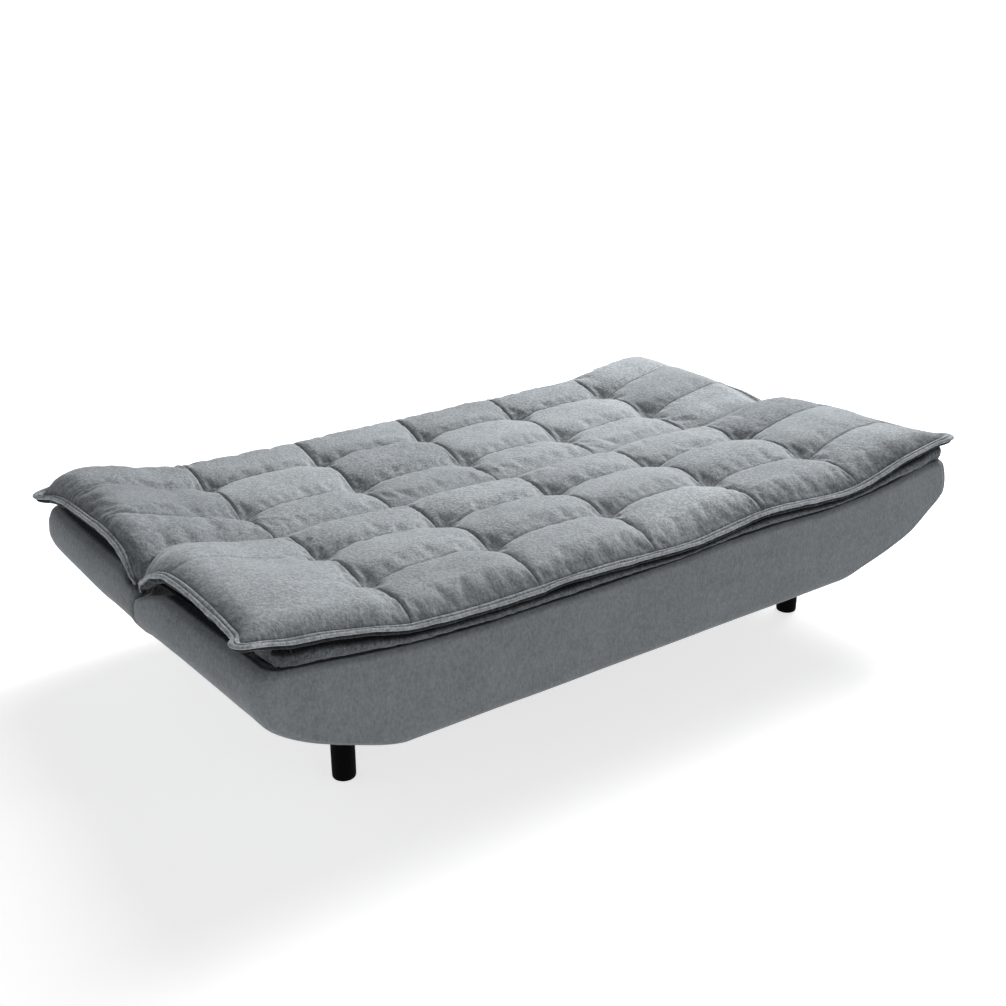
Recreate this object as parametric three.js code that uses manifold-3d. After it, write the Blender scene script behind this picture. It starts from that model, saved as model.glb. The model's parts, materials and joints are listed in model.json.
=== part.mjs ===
// Sofa bed whose back folds flat on a notched hinge at each end.
// Millimetres, +Z up, +X along the length (right as seen from the front), front at -Y.
// Origin: on the floor under the middle of the open bed.
// Rest position: opened flat. Raising the back turns the rear half about HINGE.
import * as THREE from 'three';
import * as BufferGeometryUtils from 'three/addons/utils/BufferGeometryUtils.js';
import Module from 'manifold-3d';

const wasm = await Module();
wasm.setup();

// ---------------------------------------------------------------- dimensions
const PAD_HALF = 950;        // half length over the pads' flanges
const BED_HALF = 555;        // half depth over the pads' flanges
const HINGE_Z = 382;         // height of the hinge line, at y = 0
const LEG_X = 654;           // leg centres
const LEG_Y = 331.5;
const LEG_R = 25;
const TUBE = 30;             // square frame tube
const TUBE_WALL = 2;
const TUBE_Z0 = 133;         // underside of the frame tubes
const BASE_Z = 168;          // underside of the upholstered halves
const SPLIT = 4;             // half the gap between the two halves
const BASE_Y = 545;          // outer face of the upholstery
const COVER_T = 8;           // padded fabric over the boards
const RIM_MID = 357;         // top edge of the upholstered front, middle
const RIM_END = 415;         // and at its raised ends
const BOARD = 18;            // timber thickness
const MECH_X = 866.3;        // inner face of the fixed hinge plate
const PLATE_T = 4;
const SECTOR_R = 60;         // notched sector of the hinge
const NOTCH_DEPTH = 12;
const NOTCHES = [262, 227, 190];   // degrees: flat, reclined, upright
const NOSE_ANGLE = 262;
const PAWL_LEN = 48;
const WIRE_R = 1.9;
const GAP = 0.35;

// ---------------------------------------------------------------- materials
const mat = (color, roughness, metalness) => new THREE.MeshStandardMaterial({ color, roughness, metalness });
const padFabric = mat(0x7d868c, 0.95, 0);
const baseFabric = mat(0x5c646a, 0.95, 0);
const timber = mat(0xb98f5e, 0.8, 0);
const lining = mat(0x1c1c1e, 0.98, 0);
const springSteel = mat(0x8c9094, 0.4, 0.9);
const blackSteel = mat(0x1d1e20, 0.45, 0.8);
const zinc = mat(0xb4b8bb, 0.35, 0.95);
const blackPlastic = mat(0x141415, 0.5, 0);
const rubber = mat(0x202020, 0.9, 0);

const group = new THREE.Group();

// ---------------------------------------------------------------- helpers
function toSolid(geometry) {
  const g = geometry.clone();
  g.deleteAttribute('normal');
  if (g.attributes.uv) g.deleteAttribute('uv');
  const m = BufferGeometryUtils.mergeVertices(g, 1e-4);
  return new wasm.Manifold(new wasm.Mesh({
    numProp: 3,
    vertProperties: new Float32Array(m.attributes.position.array),
    triVerts: new Uint32Array(m.index.array),
  }));
}
function toGeometry(solid) {
  const m = solid.getMesh();
  const g = new THREE.BufferGeometry();
  g.setAttribute('position', new THREE.BufferAttribute(new Float32Array(m.vertProperties), 3));
  g.setIndex(new THREE.BufferAttribute(new Uint32Array(m.triVerts), 1));
  g.computeVertexNormals();
  return g;
}
function add(name, geometry, material) {
  const mesh = new THREE.Mesh(geometry, material);
  mesh.name = name;
  group.add(mesh);
  return mesh;
}
function box(x0, x1, y0, y1, z0, z1) {
  const g = new THREE.BoxGeometry(x1 - x0, y1 - y0, z1 - z0);
  g.translate((x0 + x1) / 2, (y0 + y1) / 2, (z0 + z1) / 2);
  return g;
}
// cylinder along x, y or z from a to b
function rod(axis, r, a, b, c1, c2, seg = 16) {
  const g = new THREE.CylinderGeometry(r, r, b - a, seg);
  if (axis === 'x') { g.rotateZ(-Math.PI / 2); g.translate((a + b) / 2, c1, c2); }
  else if (axis === 'z') { g.rotateX(Math.PI / 2); g.translate(c1, c2, (a + b) / 2); }
  else g.translate(c1, (a + b) / 2, c2);
  return g;
}
// closed skin over rings of equal length; rings listed along the body, capped at both ends
function skinned(rings) {
  const K = rings[0].length;
  const pos = [];
  const idx = [];
  rings.forEach((ring) => ring.forEach((p) => pos.push(...p)));
  for (let i = 0; i + 1 < rings.length; i++) {
    for (let k = 0; k < K; k++) {
      const a = i * K + k, b = i * K + (k + 1) % K;
      idx.push(a, b, a + K, b, b + K, a + K);
    }
  }
  const cap = (base, flip) => {
    const ring = rings[base / K];
    const centre = pos.length / 3;
    pos.push(ring[0][0], ...[1, 2].map((c) => ring.reduce((sum, p) => sum + p[c], 0) / K));
    for (let k = 0; k < K; k++) {
      const l = (k + 1) % K;
      if (flip) idx.push(centre, base + l, base + k); else idx.push(centre, base + k, base + l);
    }
  };
  cap(0, true);
  cap((rings.length - 1) * K, false);
  const g = new THREE.BufferGeometry();
  g.setAttribute('position', new THREE.BufferAttribute(new Float32Array(pos), 3));
  g.setIndex(idx);
  return g;
}
// turns a geometry inside out when its volume is negative
function outward(g) {
  const p = g.attributes.position.array;
  const ix = g.index.array;
  let v = 0;
  for (let i = 0; i < ix.length; i += 3) {
    const [a, b, c] = [ix[i] * 3, ix[i + 1] * 3, ix[i + 2] * 3];
    v += p[a] * (p[b + 1] * p[c + 2] - p[b + 2] * p[c + 1])
       - p[a + 1] * (p[b] * p[c + 2] - p[b + 2] * p[c])
       + p[a + 2] * (p[b] * p[c + 1] - p[b + 1] * p[c]);
  }
  if (v < 0) for (let i = 0; i < ix.length; i += 3) { const t = ix[i + 1]; ix[i + 1] = ix[i + 2]; ix[i + 2] = t; }
  return g;
}
const lerp = (a, b, t) => a + (b - a) * t;
function table(rows, v) {
  if (v <= rows[0][0]) return rows[0][1];
  for (let i = 1; i < rows.length; i++) {
    if (v <= rows[i][0]) return lerp(rows[i - 1][1], rows[i][1], (v - rows[i - 1][0]) / (rows[i][0] - rows[i - 1][0]));
  }
  return rows[rows.length - 1][1];
}
const deg = (a) => a * Math.PI / 180;

// ---------------------------------------------------------------- shape of the halves
// half length of the upholstered base at a height, seen from the front: a boat
const HULL = [[168, 640], [175, 662], [185, 682], [200, 704], [215, 748], [232, 805], [250, 845], [267, 875],
  [284, 895], [300, 912], [315, 930], [330, 940], [350, 945], [376, 945], [400, 940], [415, 934]];
const hullX = (z) => table(HULL, z);
const hullZ = (x) => { for (let z = 168; z < 415; z += 0.5) if (hullX(z) >= x) return z; return 340; };
const rise = (x, from, to) => { const t = THREE.MathUtils.clamp((Math.abs(x) - from) / (to - from), 0, 1); return t * t * (3 - 2 * t); };
// top edge of the base: front half dips 12 mm to the hinge, rear half 10 mm more to the rear,
// and both stay below the hinge line beside it, so that the edges part when the back is raised
const seatLine = (x, y) => RIM_MID + (RIM_END - RIM_MID) * rise(x, 540, 945)
  + (y < 0 ? -12 * (1 + Math.max(y, -BASE_Y) / BASE_Y) : -12 - 10 * Math.min(y, BASE_Y) / BASE_Y);
const rim = (x, y) => Math.min(seatLine(x, y), HINGE_Z - 6 + 0.75 * Math.max(0, Math.abs(y) - SPLIT));

const STATIONS = [-894, -840, -760, -680, -600, -400, -200, 0, 200, 400, 600, 680, 760, 840, 894];
// outline of a half at level t (0 bottom, 1 top); side -1 front half, +1 rear half
function outline(side, t, endIn, faceIn, zLift) {
  const zRef = BASE_Z + t * (RIM_END - BASE_Z);
  const hx = hullX(zRef) - endIn;
  const d = Math.max(0, 25 - (zRef - BASE_Z));
  const tuck = 25 - Math.sqrt(25 * 25 - d * d);
  const yOut = BASE_Y - tuck - faceIn;
  const yIn = SPLIT + faceIn;
  const rOut = 40, rIn = Math.max(3, 12 - faceIn);
  const pts = [];
  const along = STATIONS.map((v) => v * (hx - 40) / 894);
  along.forEach((x) => pts.push([x, yOut]));
  for (let i = 1; i < 4; i++) { const a = deg(90 - 90 * i / 4); pts.push([hx - rOut + rOut * Math.cos(a), yOut - rOut + rOut * Math.sin(a)]); }
  for (let i = 0; i <= 2; i++) pts.push([hx, lerp(yOut - rOut, yIn + rIn, i / 2)]);
  pts.push([hx - rIn * 0.3, yIn + rIn * 0.3]);
  [hx - rIn, ...along.slice().reverse(), -(hx - rIn)].forEach((x) => pts.push([x, yIn]));
  pts.push([-hx + rIn * 0.3, yIn + rIn * 0.3]);
  for (let i = 0; i <= 2; i++) pts.push([-hx, lerp(yIn + rIn, yOut - rOut, i / 2)]);
  for (let i = 1; i < 4; i++) { const a = deg(180 - 90 * i / 4); pts.push([-hx + rOut + rOut * Math.cos(a), yOut - rOut + rOut * Math.sin(a)]); }
  return pts.map(([x, y]) => {
    const yy = side * y;
    const z0 = BASE_Z + zLift;
    return [x, yy, z0 + t * (rim(x, yy) - z0)];
  });
}
// upholstery of one half: outer wall, folded over the top edge, turned under the bottom
function coverGeometry(side) {
  const loop = [
    outline(side, 0, 45, 45, 0),
    outline(side, 0, 0, 0, 0),
    ...[0.05, 0.12, 0.26, 0.42, 0.58, 0.68, 0.82, 1].map((t) => outline(side, t, 0, 0, 0)),
    ...[1, 0.68, 0.42, 0.24, 0.12, 0.04].map((t) => outline(side, t, 14, COVER_T, COVER_T)),
    outline(side, 0, 45, 45, COVER_T),
  ];
  const K = loop[0].length, M = loop.length;
  const pos = [], idx = [];
  loop.forEach((r) => r.forEach((p) => pos.push(...p)));
  for (let m = 0; m < M; m++) {
    const n = (m + 1) % M;
    for (let k = 0; k < K; k++) {
      const l = (k + 1) % K;
      idx.push(m * K + k, m * K + l, n * K + k, m * K + l, n * K + l, n * K + k);
    }
  }
  const g = new THREE.BufferGeometry();
  g.setAttribute('position', new THREE.BufferAttribute(new Float32Array(pos), 3));
  g.setIndex(idx);
  return outward(g);
}

// ---------------------------------------------------------------- pads
const LIP_F = [[0, 417], [500, 418], [610, 425], [670, 438], [780, 461], [840, 467], [910, 471], [950, 475]];
const CROWN_F = [[0, 456], [560, 456], [700, 466], [840, 484], [900, 487], [935, 484], [950, 480]];
const LIP_R = [[0, 394], [500, 396], [670, 410], [840, 428], [950, 432]];
const CROWN_R = [[0, 424], [560, 426], [700, 440], [840, 456], [900, 456], [935, 450], [950, 440]];
const PAD_X = [-950, -938, -894, -840, -760, -680, -600, -400, -200, 0, 200, 400, 600, 680, 760, 840, 894, 938, 950];
const vee = (z) => 7.5 + Math.max(0, z - HINGE_Z - 6) * 0.76;   // keeps the halves apart when the back is up
function padGeometry(side) {
  const rings = PAD_X.map((x) => {
    const ax = Math.abs(x);
    const lip = table(side < 0 ? LIP_F : LIP_R, ax);
    const crown = table(side < 0 ? CROWN_F : CROWN_R, ax);
    const endUp = ax > 945 ? 52 : ax > 930 ? 26 : 0;
    const bot = (y) => Math.min(seatLine(x, side * y) + 1.5 + endUp, lip - 12);
    const hingeDrop = side < 0 ? 24 : 8;
    const top = crown - hingeDrop;
    const low = Math.max(HINGE_Z + 6, bot(8) + 1.5);
    const mid = lerp(low, top, 0.5);
    return [
      [x, side * 538, bot(538)],
      [x, side * 547, Math.min(bot(547) + 8, lerp(bot(547), lip - 11, 0.5))],
      [x, side * 548, lip - 11],
      [x, side * BED_HALF, lip - 7],
      [x, side * BED_HALF, lip + 4],
      [x, side * 541, lip + 9],
      [x, side * 505, lerp(lip, crown, 0.88)],
      [x, side * 380, crown],
      [x, side * 200, lerp(crown, top, 0.5)],
      [x, side * (vee(top) + 40), top + 1],
      [x, side * vee(top), top - 4],
      [x, side * (vee(mid) + 1.5), mid],
      [x, side * vee(low), low],
      [x, side * vee(low), bot(8)],
    ];
  });
  return outward(skinned(rings));
}
// pockets round the hinge plates, cut from the covers and pads
const pocket = (s, r) => toSolid(rod('x', r, s > 0 ? 860 : -886, s > 0 ? 886 : -860, 0, HINGE_Z, 32));
const slot = (s, front) => toSolid(box(s > 0 ? 860 : -886, s > 0 ? 886 : -860, front ? -46 : -1, front ? 1 : 40, 280, 408));

function pad(side, name) {
  let solid = toSolid(padGeometry(side));
  [-1, 1].forEach((s) => { solid = solid.subtract(slot(s, side < 0)); });
  add(name, toGeometry(solid), padFabric);
}
pad(-1, 'seat_pad');
pad(1, 'back_pad');

// ---------------------------------------------------------------- covers
const BOLT_Y = [-270, -70];
function cover(side, name) {
  let solid = toSolid(coverGeometry(side));
  [-1, 1].forEach((s) => {
    solid = solid.subtract(side < 0 ? slot(s, true) : pocket(s, 97));
    if (side < 0) BOLT_Y.forEach((y) => { solid = solid.subtract(toSolid(rod('z', 5, 150, 190, s * 648, y, 10))); });
  });
  add(name, toGeometry(solid), baseFabric);
}
cover(-1, 'seat_cover');
cover(1, 'back_cover');

// ---------------------------------------------------------------- where the hinge parts sit
const polar = (r, a) => [r * Math.cos(deg(a)), HINGE_Z + r * Math.sin(deg(a))];
const rad = (a) => [Math.cos(deg(a)), Math.sin(deg(a))];
const BODY_R = 74.5;           // centre line of the pawl, from the hinge
const [nr0, nr1] = rad(NOSE_ANGLE);
const tangent = [-nr1, nr0];
const PAWL_PIVOT = [BODY_R * nr0 - PAWL_LEN * tangent[0], HINGE_Z + BODY_R * nr1 - PAWL_LEN * tangent[1]];

// ---------------------------------------------------------------- timber
// long board cut to the boat profile, standing in the XZ plane
function boatRail(name, y0, y1, zBottom, xEnd) {
  const zs = [zBottom - 4, 215, 232, 250, 267, 284, 300, 315, 330, 350];
  const right = zs.filter((z) => z >= zBottom - 4).map((z) => [Math.min(hullX(z) - 64, xEnd), z + 4]);
  const yMid = (y0 + y1) / 2;
  const topX = right[right.length - 1][0];
  const topEdge = [topX, lerp(topX, 540, 0.33), lerp(topX, 540, 0.66), 540].map((x) => [x, rim(x, yMid) - 3]);
  const half = [...right, ...topEdge];
  const left = half.slice().reverse().map(([x, z]) => [-x, z]);
  const shape = new THREE.Shape([...half, ...left].map(([x, z]) => new THREE.Vector2(x, z)));
  const g = new THREE.ExtrudeGeometry(shape, { depth: y1 - y0, bevelEnabled: false });
  g.rotateX(Math.PI / 2);
  g.translate(0, y1, 0);
  add(name, g, timber);
}
boatRail('seat_front_rail', -536.3, -536.3 + BOARD, 203, 900);
boatRail('seat_rear_rail', -(12.5 + BOARD), -12.5, 203, 858);
boatRail('back_front_rail', 12.5, 12.5 + BOARD, 203, 851);
boatRail('back_rear_rail', 536.3 - BOARD, 536.3, 203, 900);

function endBoard(name, s, side) {
  const x1 = side < 0 ? 866 : 870.7;
  const yNear = 31.5, yFar = 516.5;
  const z1 = (y) => rim(860, side * y) - 4;
  const shape = new THREE.Shape([
    new THREE.Vector2(yNear, 292), new THREE.Vector2(yFar, 292), new THREE.Vector2(yFar, z1(yFar)), new THREE.Vector2(yNear, z1(yNear) - 4),
  ]);
  const g = new THREE.ExtrudeGeometry(shape, { depth: BOARD, bevelEnabled: false });
  // shape x -> world y, shape y -> world z, depth -> world x
  g.applyMatrix4(new THREE.Matrix4().set(0, 0, 1, x1 - BOARD, side, 0, 0, 0, 0, 1, 0, 0, 0, 0, 0, 1));
  if (s < 0) g.applyMatrix4(new THREE.Matrix4().makeScale(-1, 1, 1));
  let solid = toSolid(outwardGeometry(g));
  const xa = s > 0 ? x1 - BOARD - 1 : -(x1 + 1), xb = s > 0 ? x1 + 1 : -(x1 - BOARD - 1);
  PLATE_BOLTS[side].forEach(([y, z]) => { solid = solid.subtract(toSolid(rod('x', 4.35, xa, xb, side * y, z, 10))); });
  if (side < 0) solid = solid.subtract(toSolid(rod('x', 8, xa, xb, PAWL_PIVOT[0], PAWL_PIVOT[1], 16)));   // room for the head of the pawl pin
  add(name, toGeometry(solid), timber);
}
function outwardGeometry(g) {
  const c = g.clone();
  c.deleteAttribute('normal');
  if (c.attributes.uv) c.deleteAttribute('uv');
  return outward(BufferGeometryUtils.mergeVertices(c, 1e-4));
}
const PLATE_BOLTS = { '-1': [[84, 353], [112, 349]], 1: [[62, 360], [104, 348]] };   // on the front and the rear half
endBoard('seat_end_board_left', -1, -1);
endBoard('seat_end_board_right', 1, -1);
endBoard('back_end_board_left', -1, 1);
endBoard('back_end_board_right', 1, 1);

function crossRail(name, s, side) {
  const y0 = side < 0 ? -506 : 31.5, y1 = side < 0 ? -31.5 : 506;
  let solid = toSolid(s > 0 ? box(628, 662, y0, y1, 192, 228) : box(-662, -628, y0, y1, 192, 228));
  if (side < 0) BOLT_Y.forEach((y) => { solid = solid.subtract(toSolid(rod('z', 4.35, 180, 214, s * 648, y, 10))); });
  add(name, toGeometry(solid), timber);
}
crossRail('seat_cross_rail_left', -1, -1);
crossRail('seat_cross_rail_right', 1, -1);
crossRail('back_cross_rail_left', -1, 1);
crossRail('back_cross_rail_right', 1, 1);

// ---------------------------------------------------------------- dust cloths under the halves
add('seat_dust_cloth', box(-606, 606, -507, -20, 166.3, 167.6), lining);
add('back_dust_cloth', box(-606, 606, 20, 507, 166.3, 167.6), lining);

// ---------------------------------------------------------------- zigzag springs
function zigzag(name, x, side) {
  const a = side < 0 ? -516.5 : 32.2, b = side < 0 ? -32.2 : 516.5;
  const bends = 11;
  const pts = [new THREE.Vector3(x, a, 0)];
  const y0 = a + 28, y1 = b - 28;
  for (let i = 0; i <= bends; i++) {
    const y = lerp(y0, y1, i / bends);
    pts.push(new THREE.Vector3(x + (i % 2 ? 24 : -24), y, 0));
  }
  pts.push(new THREE.Vector3(x, b, 0));
  pts.forEach((p) => { p.z = (side < 0 ? 334 : 326) + 5 * Math.sin(Math.PI * (p.y - a) / (b - a)); });
  const curve = new THREE.CatmullRomCurve3(pts, false, 'catmullrom', 0.5);
  const section = new THREE.Shape([0, 1, 2, 3, 4].map((i) => new THREE.Vector2(WIRE_R * Math.cos(deg(72 * i)), WIRE_R * Math.sin(deg(72 * i)))));
  const g = new THREE.ExtrudeGeometry(section, { steps: 38, extrudePath: curve, bevelEnabled: false });
  add(name, g, springSteel);
}
[[-420, 'left'], [0, 'middle'], [420, 'right']].forEach(([x, n]) => {
  zigzag('seat_spring_' + n, x, -1);
  zigzag('back_spring_' + n, x, 1);
});

// ---------------------------------------------------------------- steel under-frame and legs
function tubeGeometry(length) {
  const h = TUBE / 2, i = h - TUBE_WALL;
  const s = new THREE.Shape([[-h, -h], [h, -h], [h, h], [-h, h]].map(([x, y]) => new THREE.Vector2(x, y)));
  s.holes.push(new THREE.Path([[-i, -i], [-i, i], [i, i], [i, -i]].map(([x, y]) => new THREE.Vector2(x, y))));
  const g = new THREE.ExtrudeGeometry(s, { depth: length, bevelEnabled: false });
  g.translate(0, 0, -length / 2);
  return g;
}
const TUBE_TOP = TUBE_Z0 + TUBE;
[[-1, 'left'], [1, 'right']].forEach(([s, n]) => {
  const g = tubeGeometry(2 * (LEG_Y + 20));
  g.rotateX(Math.PI / 2);
  g.translate(s * LEG_X, 0, TUBE_Z0 + TUBE / 2);
  let solid = toSolid(g);
  BOLT_Y.forEach((y) => {
    solid = solid.add(toSolid(box(s * LEG_X - 15, s * LEG_X + 15, y - 30, y + 30, TUBE_TOP - 1, 167.6)));
    solid = solid.subtract(toSolid(rod('z', 4.35, TUBE_Z0 - 5, 175, s * 648, y, 10)));
  });
  [-1, 1].forEach((t) => { solid = solid.subtract(toSolid(rod('z', 5.4, TUBE_Z0 - 5, TUBE_Z0 + 6, s * LEG_X, t * LEG_Y, 12))); });
  add('frame_side_tube_' + n, toGeometry(solid), blackSteel);
});
[[-1, 'front'], [1, 'rear']].forEach(([t, n]) => {
  const g = tubeGeometry(2 * (LEG_X - TUBE / 2 - GAP));
  g.rotateY(Math.PI / 2);
  g.translate(0, t * LEG_Y, TUBE_Z0 + TUBE / 2);
  add('frame_cross_tube_' + n, g, blackSteel);
});
[[-1, -1, 'front_left'], [1, -1, 'front_right'], [-1, 1, 'rear_left'], [1, 1, 'rear_right']].forEach(([sx, sy, n]) => {
  const g = new THREE.LatheGeometry([[0, 0], [18.5, 0], [21.5, 1.5], [23, 5], [LEG_R, 118], [LEG_R, 130], [24, TUBE_Z0 - GAP], [5, TUBE_Z0 - GAP],
    [5, TUBE_Z0 + TUBE_WALL + 10], [0, TUBE_Z0 + TUBE_WALL + 10]].map(([x, y]) => new THREE.Vector2(x, y)), 16);
  g.rotateX(Math.PI / 2);
  g.translate(sx * LEG_X, sy * LEG_Y, 0);
  add('leg_' + n, g, blackPlastic);
});
[[-1, 'left'], [1, 'right']].forEach(([s, n]) => {
  const g = new THREE.CylinderGeometry(12, 14, BASE_Z - 0.4 - TUBE_TOP - GAP, 16);
  g.rotateX(Math.PI / 2);
  g.translate(s * LEG_X, 250, (BASE_Z - 0.4 + TUBE_TOP + GAP) / 2);
  add('buffer_' + n, g, rubber);
  BOLT_Y.forEach((y, i) => {
    const head = toSolid(rod('z', 7.5, TUBE_Z0 - 5.6, TUBE_Z0 - 0.3, s * 648, y, 6));
    const shank = toSolid(rod('z', 4, TUBE_Z0 - 1, 212, s * 648, y, 10));
    add('frame_bolt_' + n + '_' + (i + 1), toGeometry(head.add(shank)), zinc);
  });
});

// ---------------------------------------------------------------- notched hinges
// flat plate in the YZ plane, x from xa to xb
function plate(points, xa, xb, holes = []) {
  const pts = points.map(([y, z]) => new THREE.Vector2(y, z));
  const shape = new THREE.Shape(THREE.ShapeUtils.isClockWise(pts) ? pts.reverse() : pts);
  holes.forEach(([y, z, r]) => {
    const round = [];
    for (let i = 12; i > 0; i--) round.push(new THREE.Vector2(y + r * Math.cos(deg(30 * i)), z + r * Math.sin(deg(30 * i))));
    shape.holes.push(new THREE.Path(round));
  });
  const g = new THREE.ExtrudeGeometry(shape, { depth: xb - xa, bevelEnabled: false, curveSegments: 12 });
  g.applyMatrix4(new THREE.Matrix4().set(0, 0, 1, xa, 1, 0, 0, 0, 0, 1, 0, 0, 0, 0, 0, 1));
  return outwardGeometry(g);
}

[[-1, 'left'], [1, 'right']].forEach(([s, n]) => {
  // built on the right, mirrored for the left
  const put = (name, solid, material) => {
    const m = s > 0 ? solid : solid.mirror([1, 0, 0]);
    add(name, toGeometry(m), material);
  };
  const x0 = MECH_X, x1 = MECH_X + PLATE_T;          // fixed plate
  const x2 = x1 + 0.7, x3 = x2 + PLATE_T;            // swinging plate and pawl
  // fixed plate on the front half's end board
  const hub = [];
  for (let a = 110; a >= -60; a -= 17) hub.push(polar(14, a));
  const fixed = [[-126, 372], [-30, 376], ...hub, [-12, 352], [-36, 312], [-47, 301], [-58, 298], [-69, 302], [-84, 334], [-126, 334]];
  put('hinge_plate_fixed_' + n, toSolid(plate(fixed, x0, x1, [[0, HINGE_Z, 5.3], [PAWL_PIVOT[0], PAWL_PIVOT[1], 4.3],
    ...PLATE_BOLTS[-1].map(([y, z]) => [-y, z, 4.35])])), zinc);
  // swinging plate with the notched sector, on the rear half's end board
  const sector = [];
  for (let a = 178; a <= 274; a += 4) sector.push(polar(SECTOR_R, a));
  const arm = [[18, 328], [60, 334], [122, 336], [122, 368], [30, 376]];
  const hubTop = [];
  for (let a = 50; a <= 150; a += 20) hubTop.push(polar(14, a));
  let swing = toSolid(plate([...sector, ...arm, ...hubTop], x2, x3, [[0, HINGE_Z, 5.3], ...PLATE_BOLTS[1].map(([y, z]) => [y, z, 4.35])]));
  NOTCHES.forEach((a) => {
    const b = new THREE.BoxGeometry(PLATE_T + 4, NOTCH_DEPTH + 10, 16);
    b.translate(0, SECTOR_R - NOTCH_DEPTH + (NOTCH_DEPTH + 10) / 2, 0);
    b.rotateX(deg(a));
    b.translate((x2 + x3) / 2, 0, HINGE_Z);
    swing = swing.subtract(toSolid(b));
  });
  put('hinge_plate_swing_' + n, swing, zinc);
  // pawl: bar with a tooth that drops into a notch
  const P = (r, t) => [r * nr0 + t * tangent[0], HINGE_Z + r * nr1 + t * tangent[1]];
  const pawlPts = [P(80, 6), P(69, 4.6), P(61.2, 3), P(61.2, -1.5), P(69, -3.4), P(69, -PAWL_LEN + 6)];
  const cap = [];
  for (let i = 0; i <= 5; i++) {
    const phi = deg(180 * i / 5);
    cap.push(P(BODY_R - 9 * Math.cos(phi), -PAWL_LEN - 9 * Math.sin(phi)));
  }
  put('pawl_' + n, toSolid(plate([...pawlPts, ...cap, P(80, -PAWL_LEN + 6)], x2, x3, [[PAWL_PIVOT[0], PAWL_PIVOT[1], 4.3]])), zinc);
  // pins
  const pin = toSolid(rod('x', 5, x0 - 3, x3 + 1, 0, HINGE_Z, 16))
    .add(toSolid(rod('x', 8.5, x3 + 0.4, x3 + 4, 0, HINGE_Z, 16))).add(toSolid(rod('x', 7.5, x0 - 4.4, x0 - 0.4, 0, HINGE_Z, 16)));
  put('hinge_pin_' + n, pin, zinc);
  const pawlPin = toSolid(rod('x', 4, x0 - 2, x3 + 1, PAWL_PIVOT[0], PAWL_PIVOT[1], 12))
    .add(toSolid(rod('x', 6.8, x3 + 0.4, x3 + 3, PAWL_PIVOT[0], PAWL_PIVOT[1], 12)))
    .add(toSolid(rod('x', 6, x0 - 3, x0 - 0.4, PAWL_PIVOT[0], PAWL_PIVOT[1], 12)));
  put('pawl_pin_' + n, pawlPin, zinc);
  // bolts through the plates into the end boards
  [[-1, x1, 'fixed'], [1, x3, 'swing']].forEach(([side, face, which]) => {
    PLATE_BOLTS[side].forEach(([y, z], i) => {
      const b = toSolid(rod('x', 4, face - 20, face + 2, side * y, z, 10)).add(toSolid(rod('x', 7.2, face + 0.35, face + 5, side * y, z, 6)));
      put('hinge_bolt_' + which + '_' + n + '_' + (i + 1), b, zinc);
    });
  });
});

export default group;
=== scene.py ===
import json
import math

import bmesh
import bpy
import numpy as np
from mathutils import Matrix, Vector


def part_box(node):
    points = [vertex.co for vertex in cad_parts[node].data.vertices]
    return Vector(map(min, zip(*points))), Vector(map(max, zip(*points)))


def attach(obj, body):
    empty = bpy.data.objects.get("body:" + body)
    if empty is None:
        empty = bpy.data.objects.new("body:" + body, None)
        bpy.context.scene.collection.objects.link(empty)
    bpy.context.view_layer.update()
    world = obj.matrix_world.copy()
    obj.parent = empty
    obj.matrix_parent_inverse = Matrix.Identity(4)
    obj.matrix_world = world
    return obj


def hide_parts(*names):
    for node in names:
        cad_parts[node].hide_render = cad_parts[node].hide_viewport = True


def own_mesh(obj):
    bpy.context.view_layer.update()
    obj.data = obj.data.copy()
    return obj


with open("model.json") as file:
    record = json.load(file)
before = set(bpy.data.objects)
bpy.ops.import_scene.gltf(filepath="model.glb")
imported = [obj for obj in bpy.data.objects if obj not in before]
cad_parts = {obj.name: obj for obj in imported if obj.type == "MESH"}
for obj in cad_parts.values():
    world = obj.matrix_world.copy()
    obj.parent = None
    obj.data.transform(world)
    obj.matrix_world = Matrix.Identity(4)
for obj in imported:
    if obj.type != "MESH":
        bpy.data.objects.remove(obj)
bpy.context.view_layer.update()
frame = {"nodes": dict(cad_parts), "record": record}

# ------------------------------------------------------------------ camera
YAW, PITCH, ROLL = math.radians(35.488), math.radians(22.0215), math.radians(-0.299)
EYE = Vector((-1.7743, -2.4754, 1.5778))
FOCAL_PX = 1354.8


def make_camera():
    d = Vector((math.sin(YAW), math.cos(YAW), 0))
    r0 = Vector((math.cos(YAW), -math.sin(YAW), 0))
    f = d * math.cos(PITCH) - Vector((0, 0, math.sin(PITCH)))
    u0 = d * math.sin(PITCH) + Vector((0, 0, math.cos(PITCH)))
    r = r0 * math.cos(ROLL) + u0 * math.sin(ROLL)
    u = -r0 * math.sin(ROLL) + u0 * math.cos(ROLL)
    data = bpy.data.cameras.new("view")
    data.sensor_width = 36
    data.lens = FOCAL_PX * 36 / 1006
    data.clip_start, data.clip_end = 0.05, 60
    cam = bpy.data.objects.new("view", data)
    bpy.context.scene.collection.objects.link(cam)
    m = Matrix((r, u, -f)).transposed().to_4x4()
    m.translation = EYE
    cam.matrix_world = m
    bpy.context.scene.camera = cam


make_camera()

# ------------------------------------------------------------------ numbers
PITCH_X = 0.3036                      # quilting columns
ROWS = {-1: (-0.541, -0.375, -0.180), 1: (0.541, 0.378, 0.180)}   # lip seam, outer pinch row, inner pinch row
TIP = 0.950                           # pad corners
HINGE_Z = 0.382
RIM_MID, RIM_END = 0.357, 0.415
BASE_Z = 0.168


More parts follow.
